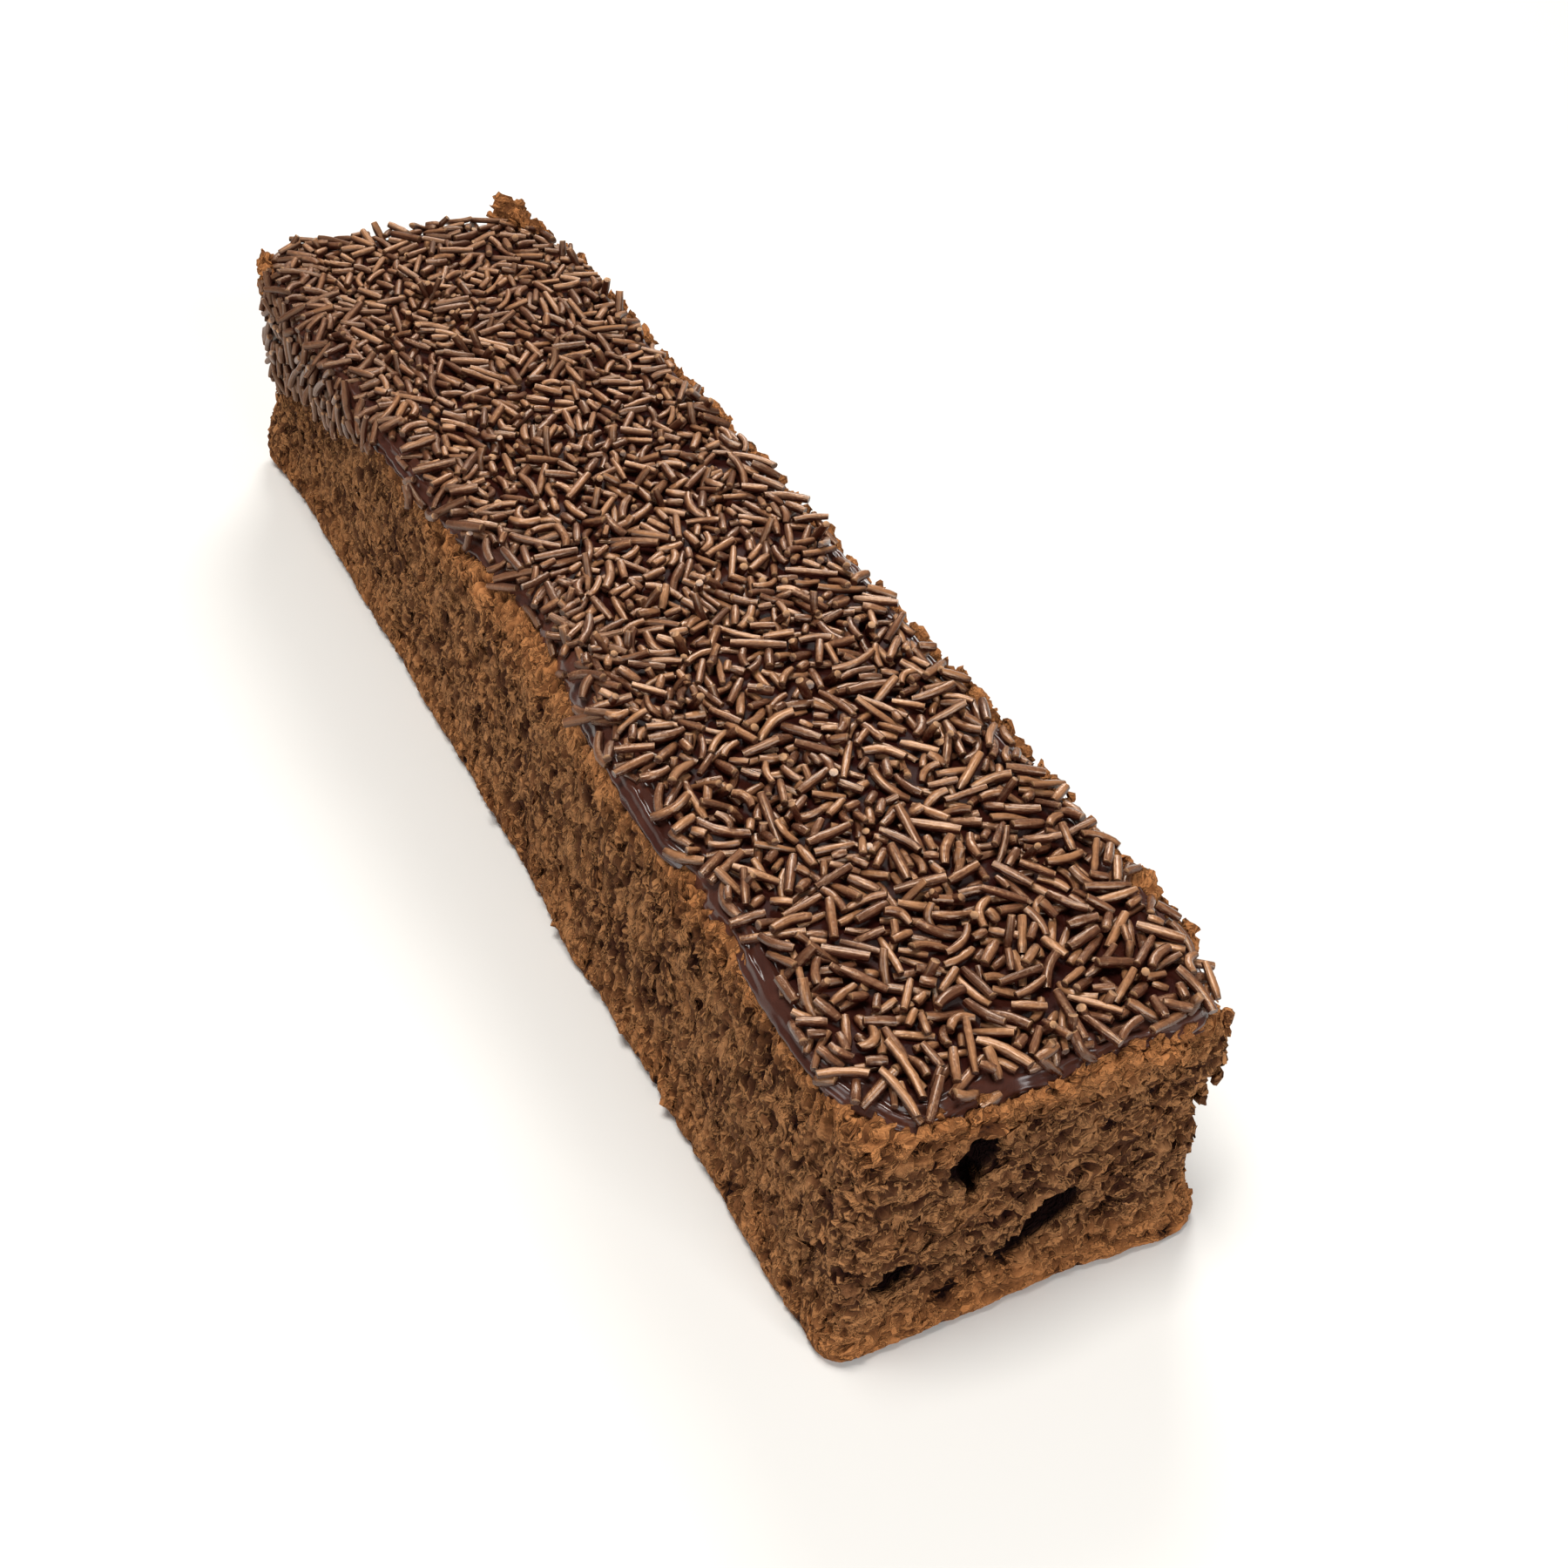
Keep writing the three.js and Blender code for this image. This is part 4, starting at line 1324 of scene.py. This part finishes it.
@dataclass
class SprinkleCover:
    """The cover of chocolate sprinkles, dropped one by one on the icing so that they lie on each other."""

    icing: IcingLayer
    seed: int = 4
    cell_mm: float = 0.35
    drops: int = 4900
    picks: int = 6
    tries: int = 8
    lane_points: int = 14
    shake_mm: float = 0.6
    diameter_mm: float = 1.55
    thickness_shares: Pair = (0.8, 1.12)
    usual_length_mm: float = 5.0
    length_spread_mm: float = 1.8
    lengths_mm: Pair = (2.2, 9.2)
    bowed_from_mm: float = 3.5
    model_length_mm: float = 6.0
    kind_shares: Triple = (0.58, 0.32, 0.1)
    highest_mm: float = 2.7
    steepest: float = 0.6
    flatness_mm: float = 1.2
    sunk_mm: float = 0.5
    standing_share: float = 0.1
    standing_slopes: Pair = (0.8, 2.5)
    standing_height: float = 0.3
    standing_lift_mm: float = 0.5
    tones: Pair = (0.15, 0.9)
    coated_loss: float = 0.6
    # How much lighter the sprinkles' tone is towards the near end
    near_tone_gain: float = 0.12
    dulled_mm: Pair = (-60.0, 115.0)
    map_margin_mm: float = 3.0
    margin_mm: float = 0.5
    edge_fall_mm: float = 2.4
    edge_fall_reach_mm: float = 2.6
    lip_margin_mm: float = 0.8
    run_reach_mm: float = 7.0
    left_edge: tuple[Pair, ...] = (
        (-127, -29.0),
        (-118, -30.0),
        (-110, -30.0),
        (-105, -28.8),
        (-101, -27.0),
        (-97, -25.6),
        (-89, -25.6),
        (-83, -27.2),
        (-72, -28.0),
        (-56, -28.5),
        (-40, -27.0),
        (-25, -25.5),
        (-8, -24.0),
        (16, -25.0),
        (36, -28.0),
        (56, -28.0),
    )
    right_gap_mm: Pair = (1.4, 3.6)
    right_knots: int = 48
    bare_corner: Swell = Swell(HALF_WIDTH, HALF_LENGTH, 9.5, 11.5, 11.0)
    stretches: tuple[EdgeStretch, ...] = (
        EdgeStretch(HALF_LENGTH - 8.5, HALF_LENGTH - 75.5, 420, 1.0, 0.8),
        EdgeStretch(60.0, -54.0, 90, math.pi, 1.0),
    )
    bowed_steps: int = 6
    straight_steps: int = 4
    taper_from: float = 0.25
    end_girth: float = 0.84
    end_face: float = 0.4999
    sizes: Sizes = field(default_factory=lambda: {"Sides": 8, "Dent Size": 2.0, "Dent Depth": 0.26})

    def top_bed(self) -> Bed:
        """Maps the icing's top.

        Returns:
            The bed.
        """
        halves = (HALF_WIDTH + self.map_margin_mm, HALF_LENGTH + self.map_margin_mm)
        across, along = (np.arange(-half, half, self.cell_mm) for half in halves)
        x, y = np.meshgrid(across, along, indexing="ij")
        points = np.column_stack([x.ravel(), y.ravel()])
        room = self.icing.room(*points.T)
        fall = self.edge_fall_mm * np.clip(1 - room / self.edge_fall_reach_mm, 0, 1) ** 2
        heights = np.where(room > 0, self.icing.top(points) - fall - self.sunk_mm, -np.inf)
        corner = np.array([across[0], along[0], 0.0])
        right, ahead, _ = np.eye(3)
        return Bed(corner, right, ahead, heights.reshape(x.shape), self.cell_mm)

    def edge_bed(self, stretch: EdgeStretch) -> EdgeBed:
        """Maps a stretch of the icing's left edge, from its lip over the shoulder to the top.

        Args:
            stretch: The stretch.

        Returns:
            The bed.
        """
        first = np.array([-HALF_WIDTH, stretch.start, 0.0])
        across, out = np.array([0, -1.0, 0]), np.array([-1.0, 0, 0])
        radius = self.icing.shoulder_mm
        shoulder_at = ICING_TOP - radius
        u = np.arange(0, stretch.start - stretch.end, self.cell_mm)
        v = np.arange(0, shoulder_at + radius * np.pi / 2 + self.run_reach_mm, self.cell_mm)
        x, y = (first + u[:, None] * across)[:, :2].T
        lip = SPONGE_HEIGHT - self.icing.drop(x, y)
        heights = np.where(v[None, :] > lip[:, None] + self.lip_margin_mm, -self.sunk_mm, -np.inf)
        stand = self.icing.wall(x, y)
        unrolled = np.array([0, 0, 1.0])
        return EdgeBed(first, across, unrolled, heights, self.cell_mm, out, stand, shoulder_at, radius)

    def settle(
        self,
        bed: Bed,
        target: Array,
        reach: Array,
        bow: Array,
        radius: float,
        turn_spread: float,
        draw: np.random.Generator,
    ) -> tuple[float, float, Array, Array, Array, Array] | None:
        """Drops a sprinkle near a spot a few times, and keeps the lowest and flattest way that it rests.

        Args:
            bed: The patch that it falls on.
            target: The spot, in the bed's own plan.
            reach: The distance of points along the sprinkle from its middle.
            bow: How far those points bow to the side.
            radius: Half its thickness.
            turn_spread: How far it turns from the direction along the bed, in radians.
            draw: The seeded random draws.

        Returns:
            The height of its middle, its slope, its spot, its heading, the direction across it and its
            points in plan, or nothing where it hangs off the bed each time.
        """
        best, lowest = None, math.inf
        for _ in range(self.tries):
            spot = target + draw.normal(0, self.shake_mm, 2)
            turn = math.pi / 2 + draw.uniform(-turn_spread, turn_spread)
            heading = np.array([math.cos(turn), math.sin(turn)])
            side = np.array([-heading[1], heading[0]])
            lane = spot + reach[:, None] * heading + bow[:, None] * side
            found = bed.rest(lane, side, reach, radius)
            score = found[0] + self.flatness_mm * abs(found[1]) if found else math.inf
            if score < lowest:
                best, lowest = (*found, spot, heading, side, lane), score
        return best

    def fill(
        self,
        bed: Bed,
        open_spots: Array,
        drops: int,
        draw: np.random.Generator,
        turn_spread: float = math.pi,
        coating: float = 0.0,
        standing_share: float = 0.0,
    ) -> dict[SprinkleKind, list[Sprinkle]]:
        """Drops sprinkles on a bed, one after another, each into the lowest of a few places and turns.

        Args:
            bed: The patch that they fall on, whose map grows with them.
            open_spots: Where a sprinkle's middle may come down, in the bed's own plan.
            drops: How many fall.
            draw: The seeded random draws.
            turn_spread: How far they turn from the direction along the bed, in radians.
            coating: How much icing coats them, from 0 to 1, which darkens and dulls them.
            standing_share: The share of them that stand on end in the icing.

        Returns:
            Those that came to rest, by kind.
        """
        kinds = list(SprinkleKind)
        laid: dict[SprinkleKind, list[Sprinkle]] = {kind: [] for kind in kinds}
        for _ in range(drops):
            picks = open_spots[draw.integers(len(open_spots), size=self.picks)]
            filled = bed.look(picks, bed.heights) - bed.look(picks, bed.bottom)
            target = picks[np.argmin(filled)]
            drawn = draw.normal(self.usual_length_mm, self.length_spread_mm)
            length = float(np.clip(drawn, *self.lengths_mm))
            thickness = self.diameter_mm * draw.uniform(*self.thickness_shares)
            bows = length > self.bowed_from_mm
            kind = kinds[draw.choice(len(kinds), p=self.kind_shares)] if bows else SprinkleKind.STRAIGHT
            tone = (1 - self.coated_loss * coating) * draw.uniform(*self.tones)
            stands = draw.random() < standing_share
            reach = np.linspace(-0.5, 0.5, self.lane_points) * length
            bow = kind.value * (0.5 - (2 * reach / length) ** 2)
            best = self.settle(bed, target, reach, bow, thickness / 2, turn_spread, draw)
            if best is None:
                continue
            middle, slope, spot, heading, side, lane = best
            ground = bed.look(spot[None, :], bed.bottom)[0]
            if abs(slope) > self.steepest or middle > ground + self.highest_mm:
                continue
            if stands:
                slope = draw.uniform(*self.standing_slopes)
                rise = self.standing_height * length * math.sin(math.atan(slope))
                middle = ground + rise + self.standing_lift_mm
            lean = math.atan(slope)
            point, across, along, up = bed.at(spot)
            way = math.cos(lean) * (heading[0] * across + heading[1] * along) + math.sin(lean) * up
            if not stands:
                shrunk = spot + (lane - spot) * math.cos(lean)
                bed.press(shrunk, side, middle + slope * reach * math.cos(lean), thickness / 2)
            dull = float(np.interp(point[1], self.dulled_mm, (0.0, 1.0)))
            # Sprinkles towards the near end get a lighter tone
            tone += self.near_tone_gain * (1 - dull)
            place = point + middle * up
            laid[kind].append(Sprinkle(place, way, up, length, thickness, tone, max(coating, dull)))
        return laid

    def lay(self) -> dict[SprinkleKind, list[Sprinkle]]:
        """Covers the top, the run down the far left and the edge in the middle of the left side.

        Returns:
            Every sprinkle, by kind.
        """
        draw = np.random.default_rng(self.seed)
        top = self.top_bed()
        cells = np.argwhere(np.isfinite(top.heights))
        plan = (cells + 0.5) * top.cell + top.corner[:2]
        left = np.interp(plan[:, 1], *np.transpose(self.left_edge))
        knots = np.linspace(-HALF_LENGTH, HALF_LENGTH, self.right_knots)
        right = HALF_WIDTH - np.interp(plan[:, 1], knots, draw.uniform(*self.right_gap_mm, len(knots)))
        room = self.icing.room(*plan.T) - self.bare_corner.at(*plan.T)
        free = (room > self.margin_mm) & (plan[:, 0] > left) & (plan[:, 0] < right)
        spots = (cells[free] + 0.5) * top.cell
        covers = [self.fill(top, spots, self.drops, draw, standing_share=self.standing_share)]
        for stretch in self.stretches:
            bed = self.edge_bed(stretch)
            spots = (np.argwhere(np.isfinite(bed.heights)) + 0.5) * bed.cell
            covers.append(self.fill(bed, spots, stretch.drops, draw, stretch.turn_spread, stretch.coating))
        return {kind: [s for cover in covers for s in cover[kind]] for kind in SprinkleKind}

    def sprinkle_tree(self, sizes: Sizes) -> Tree:
        """Builds the tree that sets a sprinkle, straight or bowed, on each resting place.

        Args:
            sizes: The tree's named inputs with their values.

        Returns:
            The tree.
        """
        tree, node, given = new_geometry_tree("laid_sprinkles", sizes)
        half, dip, rise, radius, depth = (
            node(MATH, [given[label], share * MM], operation="MULTIPLY")
            for label, share in (
                ("Model Length", 0.5),
                ("Bow", -0.5),
                ("Bow", 1.5),
                ("Diameter", 0.5),
                ("Dent Depth", 1 / MIDDLE),
            )
        )
        back = node(MATH, [half, -1.0], operation="MULTIPLY")
        start, middle, end = (
            node(JOIN, ends) for ends in ({"X": back, "Y": dip}, {"Y": rise}, {"X": half, "Y": dip})
        )
        bends = {"Resolution": given["Steps"], "Start": start, "Middle": middle, "End": end}
        path = node("GeometryNodeCurveQuadraticBezier", bends)
        factor = node("GeometryNodeSplineParameter").outputs["Factor"]
        reached = {"Geometry": path, "Name": "reach", "Value": factor}
        marked = node(STORE, reached, data_type="FLOAT", domain="POINT")
        circle = node("GeometryNodeCurvePrimitiveCircle", {"Resolution": given["Sides"], "Radius": radius})
        rounded = node(VECTOR, [node(POSITION)], operation="NORMALIZE")
        girth = {"Geometry": circle, "Name": "girth", "Value": rounded}
        section = node(STORE, girth, data_type="FLOAT_VECTOR", domain="POINT")
        off = off_middle(node, factor)
        taper = node(RANGE, [off, self.taper_from, MIDDLE, 1.0, self.end_girth])
        swept = {"Curve": marked, "Profile Curve": section, "Scale": taper, "Fill Caps": True}
        rod = node("GeometryNodeCurveToMesh", swept)
        placed = set_on_points(node, given["Geometry"], rod)
        real = node("GeometryNodeRealizeInstances", {"Geometry": placed})
        finer = node(MATH, [1 / MM, given["Dent Size"]], operation="DIVIDE")
        dents = node(NOISE, {"Vector": node(POSITION), "Scale": finer, "Detail": 1.0})
        centred = node(MATH, [dents, MIDDLE], operation="SUBTRACT")
        step = node(MATH, [centred, depth], operation="MULTIPLY")
        outwards = node(NORMAL)
        offset = node(VECTOR, [outwards, step], operation="SCALE")
        # How far each point faces up, which the finish turns into painted shade on the sides and undersides
        up = node(NAMED, {"Name": "up"}, data_type="FLOAT_VECTOR")
        facing = node(VECTOR, [outwards, up], operation="DOT_PRODUCT").outputs["Value"]
        sided = {"Geometry": real, "Name": "above", "Value": facing}
        shown = node(STORE, sided, data_type="FLOAT", domain="POINT")
        dented = node(MOVE, {"Geometry": shown, "Offset": offset})
        away = off_middle(node, node(NAMED, {"Name": "reach"}, data_type="FLOAT"))
        skin = node(COMPARE, {"A": away, "B": self.end_face}, operation="LESS_THAN", data_type="FLOAT")
        end_tree(node, given, node("GeometryNodeSetShadeSmooth", {"Geometry": dented, "Shade Smooth": skin}))
        return tree

    def build(self) -> list[Object]:
        """Lays the sprinkles and dresses them.

        Returns:
            One finished piece for each kind.
        """
        finish = SprinkleFinish().material()
        pieces = []
        for kind, laid in self.lay().items():
            sizes = {
                "Model Length": self.model_length_mm,
                "Diameter": self.diameter_mm,
                "Bow": kind.value,
                "Steps": self.bowed_steps if kind.value else self.straight_steps,
                **self.sizes,
            }
            name = f"sprinkles_{kind.name.lower()}"
            stretch = [(s.length / self.model_length_mm, *[s.thickness / self.diameter_mm] * 2) for s in laid]
            columns = {
                "heading": [s.heading for s in laid],
                "up": [s.up for s in laid],
                "stretch": stretch,
                "tone": [s.tone for s in laid],
                "coating": [s.coating for s in laid],
            }
            points = points_mesh(f"{name}_places", [s.middle for s in laid], columns)
            pieces.append(run_tree(points, self.sprinkle_tree(sizes), sizes, finish, name))
            LOG.info("%s: %d laid", name, len(laid))
        return pieces


@dataclass(frozen=True)
class SoftBox:
    """A square soft light: its place and side in metres, its power in watts and its colour."""

    name: str
    place: Triple
    side: float
    power: float
    colour: str


@dataclass
class Studio:
    """The pale floor, the soft lights and the camera, at the photograph's viewing angle."""

    eye_mm: Triple = (-126.4, -254.8, 238.0)
    right: Triple = (0.88246, -0.46303, 0.08281)
    down: Triple = (-0.24564, -0.60378, -0.75836)
    ahead: Triple = (0.40115, 0.64888, -0.64655)
    lens_mm: float = 45.1
    sensor_mm: float = 36.0
    clip: Pair = (0.01, 50.0)
    floor_half: float = 4.0
    floor_height_mm: float = -0.2
    floor_colour: str = "#d8d8d6"
    floor_roughness: float = 0.9
    aim: Triple = (0, 0, 0.03)
    room_colour: str = "#ffffff"
    room_strength: float = 0.18
    lights: tuple[SoftBox, ...] = (
        SoftBox("overhead", (-0.35, 0.0, 1.6), 0.6, 24.0, "#fffaf4"),
        SoftBox("far_window", (0.55, 0.95, 1.0), 0.5, 13.0, "#fdfaf6"),
        SoftBox("left_fill", (-1.2, -0.3, 0.4), 0.6, 5.0, "#ffffff"),
        SoftBox("near_fill", (0.15, -1.2, 0.6), 0.6, 10.0, "#ffffff"),
    )

    def camera(self) -> None:
        """Sets up the camera."""
        data = bpy.data.cameras.new("camera")
        data.lens = self.lens_mm
        data.sensor_width = self.sensor_mm
        data.clip_start, data.clip_end = self.clip
        camera = new_object("camera", data)
        columns = Matrix((self.right, [-v for v in self.down], [-v for v in self.ahead])).transposed()
        camera.matrix_world = Matrix.Translation(Vector(self.eye_mm) * MM) @ columns.to_4x4()
        bpy.context.scene.camera = camera

    def floor(self) -> None:
        """Lays the plain pale floor."""
        half = self.floor_half
        mesh = bpy.data.meshes.new("floor")
        corners = [(-half, -half, 0), (half, -half, 0), (half, half, 0), (-half, half, 0)]
        mesh.from_pydata(corners, [], [(0, 1, 2, 3)])
        material, _, dress = new_material("matt_paper_floor")
        dress({"Base Color": linear(self.floor_colour), "Roughness": self.floor_roughness})
        mesh.materials.append(material)
        floor = new_object("floor", mesh)
        floor.location.z = self.floor_height_mm * MM

    def hang(self, box: SoftBox) -> None:
        """Hangs a soft light.

        Args:
            box: The light.
        """
        data = bpy.data.lights.new(box.name, "AREA")
        data.size = box.side
        data.energy = box.power
        data.color = linear(box.colour)[:3]
        lamp = new_object(box.name, data)
        lamp.location = box.place
        lamp.rotation_euler = (Vector(self.aim) - Vector(box.place)).to_track_quat("-Z", "Y").to_euler()

    def build(self) -> None:
        """Sets up the whole studio."""
        self.camera()
        self.floor()
        for box in self.lights:
            self.hang(box)
        world = bpy.data.worlds.new("soft_room")
        bpy.context.scene.world = world
        world.use_nodes = True
        light = {"Color": linear(self.room_colour), "Strength": self.room_strength}
        feed(world.node_tree, world.node_tree.nodes["Background"], light)
        bpy.context.scene.view_settings.view_transform = "Standard"


def main() -> None:
    """Builds the cake's pieces in order, joins them to the frame and sets up the studio."""
    logging.basicConfig(level=logging.INFO, format="%(name)s: %(message)s")
    Studio().build()
    crumb = OpenCrumbFinish().material()
    sponge = SpongeBar(crumb).build()
    layer = IcingLayer()
    for pieces, node, slot in (
        ([sponge, *TornFlakes(crumb).build(sponge)], "sponge", "sponge"),
        ([layer.build()], "brigadeiro_icing", "icing"),
        (SprinkleCover(layer).build(), "brigadeiro_icing", "sprinkles"),
    ):
        for piece in pieces:
            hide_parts(node)
            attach(piece, "root")
            triangles = sum(len(face.vertices) - 2 for face in piece.data.polygons)
            LOG.info("%s: %d triangles", piece.name, triangles)


if __name__ == "__main__":
    main()
